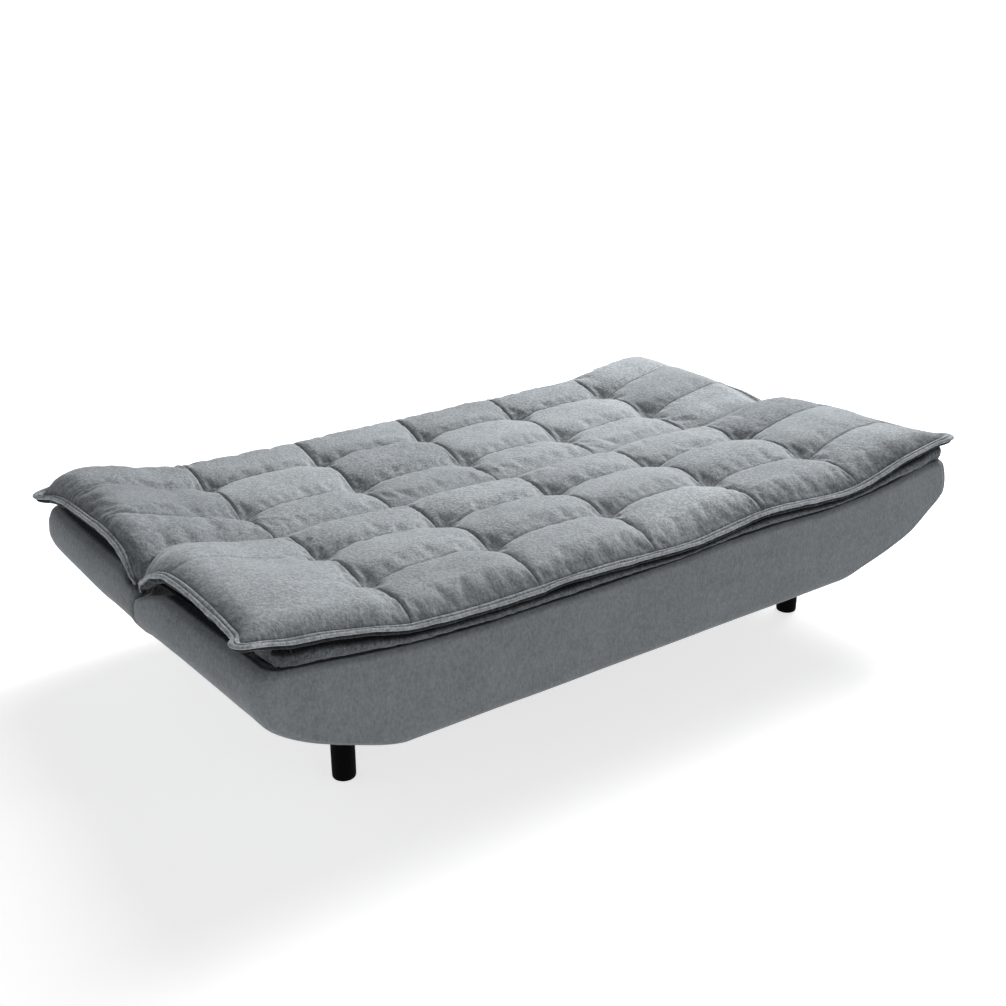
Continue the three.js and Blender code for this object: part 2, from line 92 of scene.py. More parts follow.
# ------------------------------------------------------------------ helpers
def pchip(xs, ys):
    """Smooth curve through the points that never overshoots them."""
    xs, ys = np.asarray(xs, float), np.asarray(ys, float)
    h, d = np.diff(xs), np.diff(ys) / np.diff(xs)
    m = np.zeros_like(xs)
    m[0], m[-1] = d[0], d[-1]
    for i in range(1, len(xs) - 1):
        if d[i - 1] * d[i] > 0:
            w1, w2 = 2 * h[i] + h[i - 1], h[i] + 2 * h[i - 1]
            m[i] = (w1 + w2) / (w1 / d[i - 1] + w2 / d[i])

    def f(q):
        q = np.clip(np.asarray(q, float), xs[0], xs[-1])
        i = np.clip(np.searchsorted(xs, q, side="right") - 1, 0, len(xs) - 2)
        t = (q - xs[i]) / h[i]
        return ((1 + 2 * t) * (1 - t) ** 2 * ys[i] + t * (1 - t) ** 2 * h[i] * m[i]
                + t * t * (3 - 2 * t) * ys[i + 1] + t * t * (t - 1) * h[i] * m[i + 1])
    return f


def hashed(ix, iy, seed):
    h = (ix.astype(np.int64) * 374761393 + iy.astype(np.int64) * 668265263 + seed * 974634777) & 0xFFFFFFFF
    h = ((h ^ (h >> 13)) * 1274126177) & 0xFFFFFFFF
    h = h ^ (h >> 16)
    return (h & 0xFFFFFF) / float(0xFFFFFF) * 2 - 1


def noise(x, y, size, seed):
    """Smooth noise from -1 to 1, with features about size across."""
    x, y = np.asarray(x, float) / size, np.asarray(y, float) / size
    ix, iy = np.floor(x), np.floor(y)
    fx, fy = x - ix, y - iy
    fx, fy = fx ** 3 * (fx * (fx * 6 - 15) + 10), fy ** 3 * (fy * (fy * 6 - 15) + 10)
    a = hashed(ix, iy, seed) * (1 - fx) + hashed(ix + 1, iy, seed) * fx
    b = hashed(ix, iy + 1, seed) * (1 - fx) + hashed(ix + 1, iy + 1, seed) * fx
    return a * (1 - fy) + b * fy


def smooth(t):
    t = np.clip(t, 0, 1)
    return t * t * (3 - 2 * t)


def mesh_object(name, verts, faces, shade=True):
    me = bpy.data.meshes.new(name)
    me.from_pydata([tuple(v) for v in np.asarray(verts, float).tolist()], [], faces)
    me.validate()
    me.update()
    if shade:
        me.polygons.foreach_set("use_smooth", [True] * len(me.polygons))
    ob = bpy.data.objects.new(name, me)
    bpy.context.scene.collection.objects.link(ob)
    return ob


def close_and_orient(ob):
    bm = bmesh.new()
    bm.from_mesh(ob.data)
    ngons = [f for f in bm.faces if len(f.verts) > 4]
    if ngons:
        bmesh.ops.triangulate(bm, faces=ngons, quad_method="BEAUTY", ngon_method="BEAUTY")
    bmesh.ops.recalc_face_normals(bm, faces=bm.faces)
    if bm.calc_volume(signed=True) < 0:
        bmesh.ops.reverse_faces(bm, faces=bm.faces)
    bm.to_mesh(ob.data)
    bm.free()


def spread(n, gather):
    """n steps from 0 to 1, closer together near both ends."""
    t = np.linspace(0, 1, n + 1)
    return t - gather * np.sin(2 * np.pi * t) / (2 * np.pi) * 1.0


# ------------------------------------------------------------------ pads
NET = {   # height of the quilting net: columns by distance from the middle, rows from the lip to the hinge side
    -1: ((0, 0.304, 0.607, 0.70, 0.80, 0.88, 0.938),
         ((0.420, 0.420, 0.428, 0.446, 0.464, 0.470, 0.474),
          (0.430, 0.430, 0.434, 0.448, 0.460, 0.465, 0.468),
          (0.411, 0.411, 0.415, 0.430, 0.446, 0.456, 0.463),
          (0.402, 0.402, 0.407, 0.420, 0.436, 0.444, 0.434))),
    1: ((0, 0.304, 0.607, 0.70, 0.80, 0.88, 0.938),
        ((0.396, 0.396, 0.402, 0.412, 0.422, 0.424, 0.416),
         (0.386, 0.386, 0.390, 0.404, 0.420, 0.434, 0.440),
         (0.383, 0.383, 0.388, 0.400, 0.416, 0.434, 0.446),
         (0.374, 0.374, 0.380, 0.390, 0.400, 0.412, 0.430))),
}
RAISE = {-1: 0.0240, 1: 0.0225}        # how far seams rise between the pinches
PUFF = {-1: 0.0115, 1: 0.0090}         # how far a patch stands above its seams
LEAN = {-1: (0.009, -0.006, 0.0), 1: (0.015, 0.006, -0.030)}   # left end, right end, its tip
COLS, GATHER = 60, 0.60
# the lip of the seat half waves a little along its front, and both lips arch at the left end
WAVE = ([-0.938, -0.84, -0.68, -0.50, -0.17, 0.08, 0.33, 0.59, 0.83, 0.938],
        [0.002, -0.010, -0.004, -0.008, -0.004, -0.015, 0.005, -0.016, -0.005, 0.004])
ARCH = {-1: ([0, 0.041, 0.067, 0.106, 0.146, 0.20, 0.26, 0.33, 0.42, 0.48, 0.60],
             [-0.030, -0.024, -0.016, -0.005, 0.002, 0.008, 0.011, 0.009, 0.006, 0.001, 0.0]),
        1: ([0, 0.03, 0.05, 0.082, 0.11, 0.16, 0.20, 0.30, 0.45, 0.541, 0.60],
            [-0.006, 0.004, 0.012, 0.020, 0.020, 0.010, 0.005, -0.003, -0.002, -0.006, -0.006])}
# top line of the bases along their long outer sides
RIM_X = [-0.93, -0.846, -0.783, -0.69, -0.595, -0.494, -0.389, -0.28, -0.16, -0.04, 0.063, 0.218, 0.366, 0.52, 0.68, 0.849, 0.909, 0.96]
RIM_Z = [0.420, 0.408, 0.401, 0.389, 0.380, 0.374, 0.371, 0.371, 0.370, 0.371, 0.372, 0.379, 0.380, 0.375, 0.382, 0.400, 0.402, 0.400]
ROW_STEPS = (44, 44, 54)


def bow(a, m=2.9, p=0.54):
    """Arch over a span from 0 to 1, steep where it starts and ends."""
    return np.power(np.clip(1 - np.abs(2 * np.clip(a, 0, 1) - 1) ** m, 0, 1), p)


def funnel(r):
    """The filling is drawn in round each pinch."""
    return 1 - 0.86 * np.exp(-(r / 0.046) ** 1.6)


def shoulder(d, w, p=0.62):
    """Rises steeply from an edge and levels out at distance w."""
    return np.power(np.clip(1 - (1 - np.clip(d / w, 0, 1)) ** 2, 0, 1), p)


def end_x(side, v):
    """Half length of the pad at the lip seam; the ends pull in between the corners."""
    return 0.936 + 0.012 * np.exp(-(v / 0.16) ** 2) - 0.010 * np.sin(np.pi * np.clip(v / 2.7, 0, 1)) - 0.010 * smooth((v - 2.2) / 0.8)


def frame_rim(x, y):
    t = smooth((np.abs(x) - 0.540) / 0.405)
    z = RIM_MID + (RIM_END - RIM_MID) * t
    return z + np.where(y < 0, -0.012 * (1 + np.maximum(y, -0.545) / 0.545), -0.012 - 0.010 * np.minimum(y, 0.545) / 0.545)


def rim(x, y):
    z = frame_rim(x, y) - 0.034 * np.exp(-(y / 0.045) ** 2) * smooth((np.abs(x) - 0.888) / 0.028)
    z = z - 0.011 * smooth((-x - 0.865) / 0.04) * smooth((y - 0.12) / 0.14)
    line = OUTER_RIM(np.clip(x, -0.93, 0.96)) - 0.012 * smooth((-x - 0.865) / 0.04) * (y > 0)
    w = smooth((np.abs(y) - 0.40) / 0.12)
    return z * (1 - w) + np.where(y < 0, line, 0.6 * (line - 0.012) + 0.4 * z) * w


OUTER_RIM = pchip(RIM_X, RIM_Z)


def pad_grid(side, cols, steps, gather):
    """Points of the quilted sheet, with lattice coordinates U 0..6 and V 0..3."""
    u = np.concatenate([c + spread(cols, gather)[:-1] for c in range(6)] + [[6.0]])
    v = np.concatenate([r + spread(steps[r], gather)[:-1] for r in range(3)] + [[3.0]])
    U, V = np.meshgrid(u, v, indexing="ij")
    ex = end_x(side, V)
    inner = 2 * PITCH_X
    X = np.where(U < 1, -ex + (ex - inner) * U, np.where(U > 5, inner + (ex - inner) * (U - 5), (U - 3) * PITCH_X))
    # across: lip seam, rows, then the rounded hinge side
    y0, y1, y2 = [abs(t) for t in ROWS[side]]
    t = np.clip(V - 2, 0, 1)
    flat, turn = 0.60, 0.86
    yc, ys = 0.060, 0.024
    Y = np.where(V < 1, y0 + (y1 - y0) * V, np.where(V < 2, y1 + (y2 - y1) * (V - 1), 0))
    a = np.clip((t - flat) / (turn - flat), 0, 1) * np.pi / 2
    yw = np.where(t < flat, y2 + (yc - y2) * t / flat, yc - (yc - ys) * np.sin(a))
    Y = np.where(V >= 2, yw, Y)
    drop = np.where(t < flat, 0, 0.030 * (1 - np.cos(a)))
    if side < 0:      # the last column seam leans outward at the lip, and its outer pinch sits further forward
        X = X + 0.026 * np.exp(-((U - 5) / 0.6) ** 2) * (1 - smooth(V)) + 0.008 * np.exp(-((U - 4) / 0.5) ** 2) * (1 - smooth(V))
        Y = Y + 0.014 * np.exp(-((U - 5) / 0.5) ** 2) * np.exp(-((V - 1) / 0.4) ** 2)
    # heights
    xs, rows = NET[side]
    fz = [pchip(xs, r) for r in rows]
    ax = np.abs(X)
    knots = (0, 1, 2, 2.0 + flat)
    zr = [f(ax) for f in fz]
    seg = np.clip(np.searchsorted(knots, V, side="right") - 1, 0, 2)
    lo = np.choose(seg, zr[:3])
    hi = np.choose(seg, zr[1:])
    k = np.array(knots)
    s = np.clip((V - k[seg]) / (k[seg + 1] - k[seg]), 0, 1)
    Z = lo + (hi - lo) * (0.5 * s + 0.5 * smooth(s)) - drop
    floor_z = rim(X, side * Y) + 0.004
    low = np.clip((t - turn) / (1 - turn), 0, 1)
    Z = np.where(t > turn, Z * (1 - low) + floor_z * low, Z)
    Z = np.maximum(Z, floor_z)
    if side < 0:
        Z = Z + pchip(*WAVE)(np.clip(X, -0.938, 0.938)) * (1 - smooth(V))
    Z = Z + pchip(*ARCH[side])(np.clip(Y, 0, 0.6)) * smooth((-X - 0.845) / 0.080)
    return U, V, X, side * Y, Z, t


def pad_shape(side, seed, cols=COLS, steps=ROW_STEPS, gather=GATHER, detail=True, swell=None):
    U, V, X, Y, Z, t = pad_grid(side, cols, steps, gather)
    # the left end stands a little higher, the right end a little lower
    Z = Z + LEAN[side][0] * smooth((-X - 0.70) / 0.15) * (1 - 0.75 * smooth((-X - 0.905) / 0.030) * (side > 0)) * smooth((np.abs(Y) - 0.03) / 0.10)
    Z = Z + LEAN[side][1] * smooth((X - 0.60) / 0.12) + LEAN[side][2] * smooth((X - 0.84) / 0.08)
    P = np.stack([X, Y, Z], -1)
    du = np.gradient(P, axis=0)
    dv = np.gradient(P, axis=1)
    N = np.cross(du, dv)
    N /= np.maximum(np.linalg.norm(N, axis=-1, keepdims=True), 1e-9)
    if N[len(N) // 2, 20, 2] < 0:
        N = -N
    y0, y1, y2 = [abs(q) for q in ROWS[side]]
    widths = np.array([0.322, PITCH_X, PITCH_X, PITCH_X, PITCH_X, 0.322])
    heights = np.array([y0 - y1, y1 - y2, 0.225])
    ci = np.clip(np.floor(U).astype(int), 0, 5)
    ri = np.clip(np.floor(V).astype(int), 0, 2)
    a, b = U - ci, V - ri
    wa, wb = widths[ci], heights[ri]
    d_l, d_r = a * wa, (1 - a) * wa                       # metres to the left and right edges of the patch
    d_o, d_i = b * wb, (1 - b) * wb                       # to the lip side, to the hinge side
    # arches of the seams between the pinches; the outer ones run on to the lip or the hinge side
    first, last = ci == 0, ci == 5
    ga = np.where(first, bow(0.5 + 0.5 * a), np.where(last, bow(0.5 * a), bow(a)))
    gb = np.where(ri == 0, bow(0.5 + 0.5 * b), np.where(ri == 1, bow(b), bow(np.clip(0.62 * b, 0, 0.5))))
    g = 1 - (1 - ga) * (1 - gb)
    pa = np.where(first, bow(0.5 + 0.5 * a, 2.4, 0.66), np.where(last, bow(0.5 * a, 2.4, 0.66), bow(a, 2.4, 0.66)))
    pb = np.where(ri == 0, bow(0.5 + 0.5 * b, 2.4, 0.66), np.where(ri == 1, bow(b, 2.4, 0.66), bow(np.clip(0.62 * b, 0, 0.5), 2.4, 0.66)))
    f = pa * pb
    e_end = np.minimum(shoulder(np.where(first, d_l, 9), 0.072), shoulder(np.where(last, d_r, 9), 0.058))
    e_lip = shoulder(np.where(ri == 0, d_o, 9), 0.056, 0.56)
    edge = e_end * e_lip
    ends = 1 - np.where(X < 0, 0.06 * smooth((-X - 0.64) / 0.22), 0.38 * smooth((X - 0.78) / 0.13))
    tall = 1 + 0.16 * hashed(ci, ri, seed)
    # seams of the seat's left end column are drawn less tight
    plain = first & (side < 0)
    slack = np.where(plain, 0.08 + 0.92 * smooth((a - 0.70) / 0.30), np.where(first, 0.7, 1.0))
    fa = 1 - (1 - f) * slack
    D = edge * ends * (RAISE[side] * (1 - (1 - g) * np.where(plain, 0.85, 1.0)) + PUFF[side] * fa * tall)
    rx, ry = np.abs(U - np.round(np.clip(U, 1, 5))) * PITCH_X, np.abs(V - np.round(np.clip(V, 1, 2))) * (y1 - y2)
    r = np.hypot(rx, ry)
    D = D * funnel(r)
    if side < 0:      # the left end of the seat lies flatter towards the hinge
        D = D * (1 - 0.36 * smooth((1.30 - U) / 0.55) * smooth((U - 0.12) / 0.50) * smooth((V - 1.1) / 0.8))
    under = smooth((t - 0.72) / 0.28)
    if not detail:
        D *= 1 - 0.55 * under
        P = P + N * D[..., None]
        P[..., 1] = np.minimum(P[..., 1], -0.0018) if side < 0 else np.maximum(P[..., 1], 0.0018)
        return P, U, V
    D -= 0.0030 * np.exp(-(r / 0.012) ** 2)
    seam_c = np.minimum(np.where(ci > 0, d_l, 9), np.where(ci < 5, d_r, 9))
    seam_r = np.minimum(np.where(ri > 0, d_o, 9), np.where(ri < 2, d_i, 9)) + np.where(plain, 0.05 * smooth((0.96 - U) / 0.10), 0)
    seam = np.minimum(seam_c, seam_r)
    D -= 0.0014 * np.exp(-(seam / 0.0018) ** 2)
    # folds running out of the pinches
    ang = np.arctan2(ry * np.sign(V - np.round(np.clip(V, 1, 2))), rx * np.sign(U - np.round(np.clip(U, 1, 5))))
    pid = np.round(np.clip(U, 1, 5)) * 7 + np.round(np.clip(V, 1, 2))
    ph = hashed(pid, pid * 3 + 1, seed + 5) * 3.1
    k1 = 7 + np.round(1.6 * hashed(pid, pid + 9, seed + 6))
    D += 0.0011 * np.cos(k1 * ang + ph + 1.2 * noise(X, Y, 0.03, seed + 2)) * np.exp(-r / 0.036) * (1 - np.exp(-(r / 0.010) ** 2)) * (1 - np.exp(-(seam / 0.006) ** 2))
    # puckers across the seams and along the lip
    along = np.where(seam_c < seam_r, V * 0.19, U * PITCH_X)
    D += 0.0010 * noise(along, np.round(U) * 0.3 + np.round(V) * 0.7, 0.012, seed + 3) * np.exp(-((seam - 0.007) / 0.008) ** 2)
    de_l, de_r = np.where(first, d_l, 9), np.where(last, d_r, 9)
    d_end = np.minimum(de_l, de_r)
    d_front = np.where(ri == 0, d_o, 9)
    wl = np.exp(-d_front / 0.022) * (1 - np.exp(-d_front / 0.004))
    D += 0.0017 * wl * noise(X + 0.012 * noise(X, Y, 0.05, seed + 8), d_front * 0.16, 0.0085, seed + 4)
    D += 0.0003 * wl * noise(X, d_front * 0.1, 0.034, seed + 14)
    we = np.exp(-d_end / 0.030) * (1 - np.exp(-d_end / 0.004))
    D += 0.0013 * we * noise(Y + 0.012 * noise(X, Y, 0.05, seed + 9), d_end * 0.22 + 4, 0.016, seed + 7)
    # uneven filling and cloth
    loose = np.sqrt(np.clip(f * edge, 0, 1))
    D += loose * (0.0026 * noise(X, Y, 0.13, seed + 11) + 0.0005 * noise(X, Y, 0.055, seed + 12) + 0.0002 * noise(X, Y, 0.018, seed + 13))
    D *= 1 - 0.55 * under
    P = P + N * D[..., None]
    if swell is not None:
        P = P + bilinear(swell, U[:, 0], V[0])
    # the sheet shifts a little over its filling
    P[..., 0] += 0.0040 * noise(X, Y, 0.19, seed + 21) * edge
    P[..., 1] += 0.0040 * noise(X, Y, 0.19, seed + 22) * edge * (1 - under)
    lim = 0.0018
    if side < 0:
        P[..., 1] = np.minimum(P[..., 1], -lim)
    else:
        P[..., 1] = np.maximum(P[..., 1], lim)
    P[..., 2] = np.maximum(P[..., 2], rim(P[..., 0], P[..., 1]) + 0.003)
    crown = np.maximum(P[..., 2] - 0.498, 0)
    P[..., 2] += 0.0125 * np.tanh(crown / 0.0125) - crown
    patch = np.where(plain, 0, ci * 3 + ri)
    return P, patch, seam, np.minimum(d_end, d_front), U, V


def bilinear(field, u, v):
    """Values of a field given on a regular U, V lattice, at the rows u and columns v."""
    us, vs, F = field
    i = np.clip(np.searchsorted(us, u, side="right") - 1, 0, len(us) - 2)
    j = np.clip(np.searchsorted(vs, v, side="right") - 1, 0, len(vs) - 2)
    a = ((u - us[i]) / (us[i + 1] - us[i]))[:, None, None]
    b = ((v - vs[j]) / (vs[j + 1] - vs[j]))[None, :, None]
    G0 = F[i][:, j] * (1 - a) + F[i + 1][:, j] * a
    G1 = F[i][:, j + 1] * (1 - a) + F[i + 1][:, j + 1] * a
    return G0 * (1 - b) + G1 * b


SIM_COLS, SIM_ROWS = 34, (22, 22, 26)


def inflate(side, seed):
    """Cloth simulation of the quilted sheet, held at its edge, pinches and seams: how far each point moves."""
    P, U, V = pad_shape(side, seed, SIM_COLS, SIM_ROWS, 0.0, detail=False)
    nu, nv = P.shape[:2]
    P0 = P.copy()
    P0 += 0.0004 * np.stack([noise(U * 9, V * 9, 1.0, seed + 71), noise(U * 9, V * 9, 1.0, seed + 72), noise(U * 9, V * 9, 1.0, seed + 73)], -1)
    idx = np.arange(nu * nv).reshape(nu, nv)
    quads = np.stack([idx[:-1, :-1], idx[1:, :-1], idx[1:, 1:], idx[:-1, 1:]], -1).reshape(-1, 4).tolist()
    ob = mesh_object("cloth_sheet", P0.reshape(-1, 3), quads)
    mid = ob.data.polygons[len(ob.data.polygons) // 2]
    if mid.normal.z < 0:
        ob.data.flip_normals()
    group = ob.vertex_groups.new(name="held")
    fu, fv = np.abs(U - np.round(U)), np.abs(V - np.round(V))
    on_seam = ((fu < 1e-6) | ((fv < 1e-6) & ~((U < 0.92) & (side < 0)))).reshape(-1)
    border = ((U < 1e-6) | (U > 6 - 1e-6) | (V < 1e-6) | (V > 3 - 0.35)).reshape(-1)
    group.add([int(i) for i in np.nonzero(on_seam | border)[0]], 1.0, "REPLACE")
    mod = ob.modifiers.new("cloth", "CLOTH")
    cs = mod.settings
    cs.quality = 6
    cs.mass = 0.35
    cs.tension_stiffness = 18
    cs.compression_stiffness = 12
    cs.shear_stiffness = 6
    cs.bending_stiffness = 0.25
    cs.air_damping = 2.0
    cs.vertex_group_mass = "held"
    cs.pin_stiffness = 4
    cs.shrink_min = -0.035
    cs.use_pressure = True
    cs.uniform_pressure_force = 4.0
    cs.effector_weights.gravity = 0
    mod.collision_settings.use_collision = False
    mod.collision_settings.use_self_collision = False
    scene = bpy.context.scene
    mod.point_cache.frame_start, mod.point_cache.frame_end = 1, 20
    for fr in range(1, 21):
        scene.frame_set(fr)
    ev = ob.evaluated_get(bpy.context.evaluated_depsgraph_get())
    co = np.empty(nu * nv * 3, np.float64)
    ev.data.vertices.foreach_get("co", co)
    moved = co.reshape(nu, nv, 3) - P
    moved[~np.isfinite(moved)] = 0
    scene.frame_set(1)
    me_ = ob.data
    bpy.data.objects.remove(ob, do_unlink=True)
    bpy.data.meshes.remove(me_)
    far = np.linalg.norm(moved, axis=-1, keepdims=True)
    print("cloth", side, "largest move before the cap %.1f mm, mean %.1f mm" % (far.max() * 1000, far.mean() * 1000))
    cap = 0.008
    moved *= np.minimum(1, cap / np.maximum(far, 1e-9))
    held = (on_seam | border).reshape(nu, nv)
    moved[held] = 0
    moved *= (1 - 0.65 * smooth((U - 5.15) / 0.4) - (0.70 if side < 0 else 0.0) * smooth((1.0 - U) / 0.3))[..., None]
    return U[:, 0], V[0], moved


def build_pad(side, name, seed):
    swell = inflate(side, seed)
    P, patch, seam, d_lip, U, V = pad_shape(side, seed, swell=swell)
    nu, nv = P.shape[:2]
    verts = P.reshape(-1, 3)
    idx = np.arange(nu * nv).reshape(nu, nv)
    quads = np.stack([idx[:-1, :-1], idx[1:, :-1], idx[1:, 1:], idx[:-1, 1:]], -1).reshape(-1, 4)
    qpatch = patch[:-1, :-1].reshape(-1)
    loop = np.concatenate([idx[:, 0], idx[-1, 1:], idx[::-1, -1][1:], idx[0, ::-1][1:-1]])
    base = verts[loop]
    n = len(loop)
    inner_c = base.copy()
    hinge = (np.abs(base[:, 1]) < 0.05)
    rings = []
    for inset, fall in ((0.004, 0.005), (0.012, 0.009), (0.050, 0.012)):
        r = base.copy()
        r[:, 0] -= np.sign(base[:, 0]) * inset * (np.abs(base[:, 0]) > 0.90)
        r[:, 1] -= side * inset * (np.abs(base[:, 1]) > 0.50) - side * inset * 0.4 * hinge
        r[:, 2] -= np.where(hinge, 0.0006, fall)
        r[:, 2] = np.maximum(r[:, 2], rim(r[:, 0], r[:, 1]) + 0.0015)
        rings.append(r)
    faces = quads.tolist()
    # underside: loops that close in on a line along the middle of the pad
    mid = np.stack([np.clip(base[:, 0] * 0.82, -0.70, 0.70), np.full(n, side * 0.28) + np.sign(base[:, 1] - side * 0.28) * 0.002], -1)
    last = rings[-1]
    for w in (0.08, 0.25, 0.45, 0.65, 0.82, 0.94, 1.0):
        r = last.copy()
        r[:, :2] = last[:, :2] * (1 - w) + mid * w
        zr = rim(r[:, 0], r[:, 1]) + 0.0015
        r[:, 2] = last[:, 2] * (1 - smooth(w / 0.45)) + zr * smooth(w / 0.45)
        r[:, 2] = np.maximum(r[:, 2], zr)
        rings.append(r)
    allv = [verts] + rings
    prev = loop
    start = nu * nv
    for r in rings:
        cur = np.arange(start, start + n)
        start += n
        nxt = np.roll(np.arange(n), -1)
        faces += np.stack([prev, prev[nxt], cur[nxt], cur], -1).tolist()
        prev = cur
    faces.append(prev.tolist())
    ob = mesh_object(name, np.concatenate(allv), faces)
    # the pile of each patch is brushed its own way: how light and how flecked it looks; on top of that, painted shade
    # by column
    for word_, seed_ in (("patch_tone_and_shade", 811 if side < 0 else 1548), ("flecks", seed + 5)):
        patch_tone_and_shade = np.full(len(ob.data.polygons), 0.5)
        patch_tone_and_shade[: len(qpatch)] = 0.5 + 0.5 * hashed(qpatch // 3, qpatch % 3, seed_)
        if word_ == "patch_tone_and_shade":
            # painted shade: the seat's right end column and the back's left end column are darkened, the other columns
            # set a little lighter
            col_ = qpatch // 3
            patch_tone_and_shade[: len(qpatch)] += np.where(col_ == 5, -0.60, 0.16) if side < 0 else np.where(col_ == 0, -0.35, 0.05)
        at = ob.data.attributes.new(word_, "FLOAT", "FACE")
        at.data.foreach_set("value", patch_tone_and_shade.astype(np.float32))
    ds = np.full(len(ob.data.vertices), 0.05)
    ds[: nu * nv] = seam.reshape(-1)
    at = ob.data.attributes.new("seam", "FLOAT", "POINT")
    at.data.foreach_set("value", ds.astype(np.float32))
    dl = np.zeros(len(ob.data.vertices))
    dl[: nu * nv] = d_lip.reshape(-1)
    at = ob.data.attributes.new("rim", "FLOAT", "POINT")
    at.data.foreach_set("value", np.clip(dl, 0, 1).astype(np.float32))
    close_and_orient(ob)
    return ob, P


def sweep(name, path, frames_out, frames_up, section, caps=True):
    """Closed band: section is (k, n) outward and upward offsets for each point of the path."""
    n, k = len(path), section.shape[1]
    pts = path[:, None, :] + frames_out[:, None, :] * section[..., 0:1] + frames_up[:, None, :] * section[..., 1:2]
    verts = pts.reshape(-1, 3)
    idx = np.arange(n * k).reshape(n, k)
    nx = np.roll(np.arange(k), -1)
    faces = np.stack([idx[:-1], idx[:-1][:, nx], idx[1:][:, nx], idx[1:]], -1).reshape(-1, 4).tolist()
    if caps:
        faces.append(idx[0][::-1].tolist())
        faces.append(idx[-1].tolist())
    ob = mesh_object(name, verts, faces)
    close_and_orient(ob)
    return ob


def lip_path(side, P, step=0.0032):
    """Follows the pad's lip seam: one end, the long edge, the other end."""
    line = np.concatenate([P[0, ::-1], P[1:, 0], P[-1, 1:]])
    # leave out the part that turns down beside the hinge
    keep = np.abs(line[:, 1]) > 0.0215
    line = line[keep]
    seg = np.linalg.norm(np.diff(line, axis=0), axis=1)
    s = np.concatenate([[0], np.cumsum(seg)])
    m = int(s[-1] / step)
    q = np.linspace(0, s[-1], m)
    out = np.stack([np.interp(q, s, line[:, i]) for i in range(3)], -1)
    for _ in range(14):
        out[1:-1] = 0.5 * out[1:-1] + 0.25 * (out[:-2] + out[2:])
    return out, q


def rounded(points, times=2):
    """Closed outline with its corners cut twice (Chaikin)."""
    p = np.asarray(points, float)
    for _ in range(times):
        q = np.roll(p, -1, axis=0)
        p = np.stack([0.75 * p + 0.25 * q, 0.25 * p + 0.75 * q], 1).reshape(-1, 2)
    return p


WELT = rounded([(-9, 1.6), (-5, 2.0), (-2.6, 2.4), (-0.8, 4.4), (2.0, 5.4), (4.5, 4.2), (5.2, 0.8), (6.2, 2.6), (8.8, 3.4), (11.8, 1.9),
                (13.0, -1.0), (11.8, -3.8), (8.4, -5.0), (6.6, -6.4), (8.8, -7.8), (9.6, -10.2), (7.8, -13.2), (3.0, -14.4), (-4, -12.5), (-9, -8)], 2) * 0.001


def lip_frames(side, path):
    n = len(path)
    tan = np.gradient(path, axis=0)
    tan /= np.linalg.norm(tan, axis=1, keepdims=True)
    up = np.tile([0.0, 0.0, 1.0], (n, 1))
    out = np.cross(tan, up)
    out /= np.linalg.norm(out, axis=1, keepdims=True)
    flip = np.sign(np.sum(out * (path - np.array([0, side * 0.28, 0.42])), axis=1))
    out *= np.where(flip == 0, 1, flip)[:, None]
    up = np.cross(out, tan)
    up *= np.sign(up[:, 2:3])
    return tan, out, up


def build_lip(side, name, P, seed):
    path, s = lip_path(side, P)
    n = len(path)
    tan, out, up = lip_frames(side, path)
    corner = np.exp(-((np.hypot(np.abs(path[:, 0]) - 0.936, np.abs(path[:, 1]) - 0.541)) / 0.020) ** 2)
    z0 = s * 0
    k = len(WELT)
    sec = np.tile(WELT, (n, 1, 1))
    low = smooth((-WELT[:, 1] - 0.0038) / 0.0024)[None, :]
    far = smooth((WELT[:, 0] + 0.002) / 0.010)[None, :]
    ruffle = (0.0013 * noise(s, z0 + 1.3, 0.0085, seed) + 0.0016 * noise(s, z0 + 2.3, 0.021, seed + 1))[:, None]
    wave = (0.0022 * noise(s, z0 + 3.3, 0.075, seed + 2) + 0.0010 * noise(s, z0 + 4.3, 0.028, seed + 3))[:, None]
    fat = (0.10 * noise(s, z0 + 7.7, 0.030, seed + 4))[:, None]
    top = 1 - low
    sec[..., 0] *= 1 + 0.7 * corner[:, None]
    sec[..., 0] += far * (low * (1.3 * ruffle - 0.0016) + top * 0.35 * ruffle) + 0.003 * corner[:, None]
    sec[..., 1] = sec[..., 1] * (1 + fat) + far * (wave + low * 0.7 * ruffle) + 0.004 * (corner[:, None] * far)
    taper = 1 - (0.25 if side > 0 else 0.50) * (1 - smooth((np.abs(path[:, 1]) - 0.022) / 0.035))
    at_end = smooth((np.abs(path[:, 0]) - 0.915) / 0.015) * smooth((0.52 - np.abs(path[:, 1])) / 0.04)
    sec *= (taper * (1 + 0.16 * at_end))[:, None, None]
    ob = sweep(name, path, out, up, sec)
    # painted shade: the lower lobe of the welt is darkened as if in shade
    painted_shade_mark(ob, np.tile(low, (n, 1)).reshape(-1))
    return ob


def painted_shade_mark(ob, values):
    """Painted shade for each point, 0 to 1: how far its colour is darkened as if it lay in shade."""
    v = np.zeros(len(ob.data.vertices))
    v[: len(values)] = values
    at = ob.data.attributes.new("painted_shade", "FLOAT", "POINT")
    at.data.foreach_set("value", v.astype(np.float32))


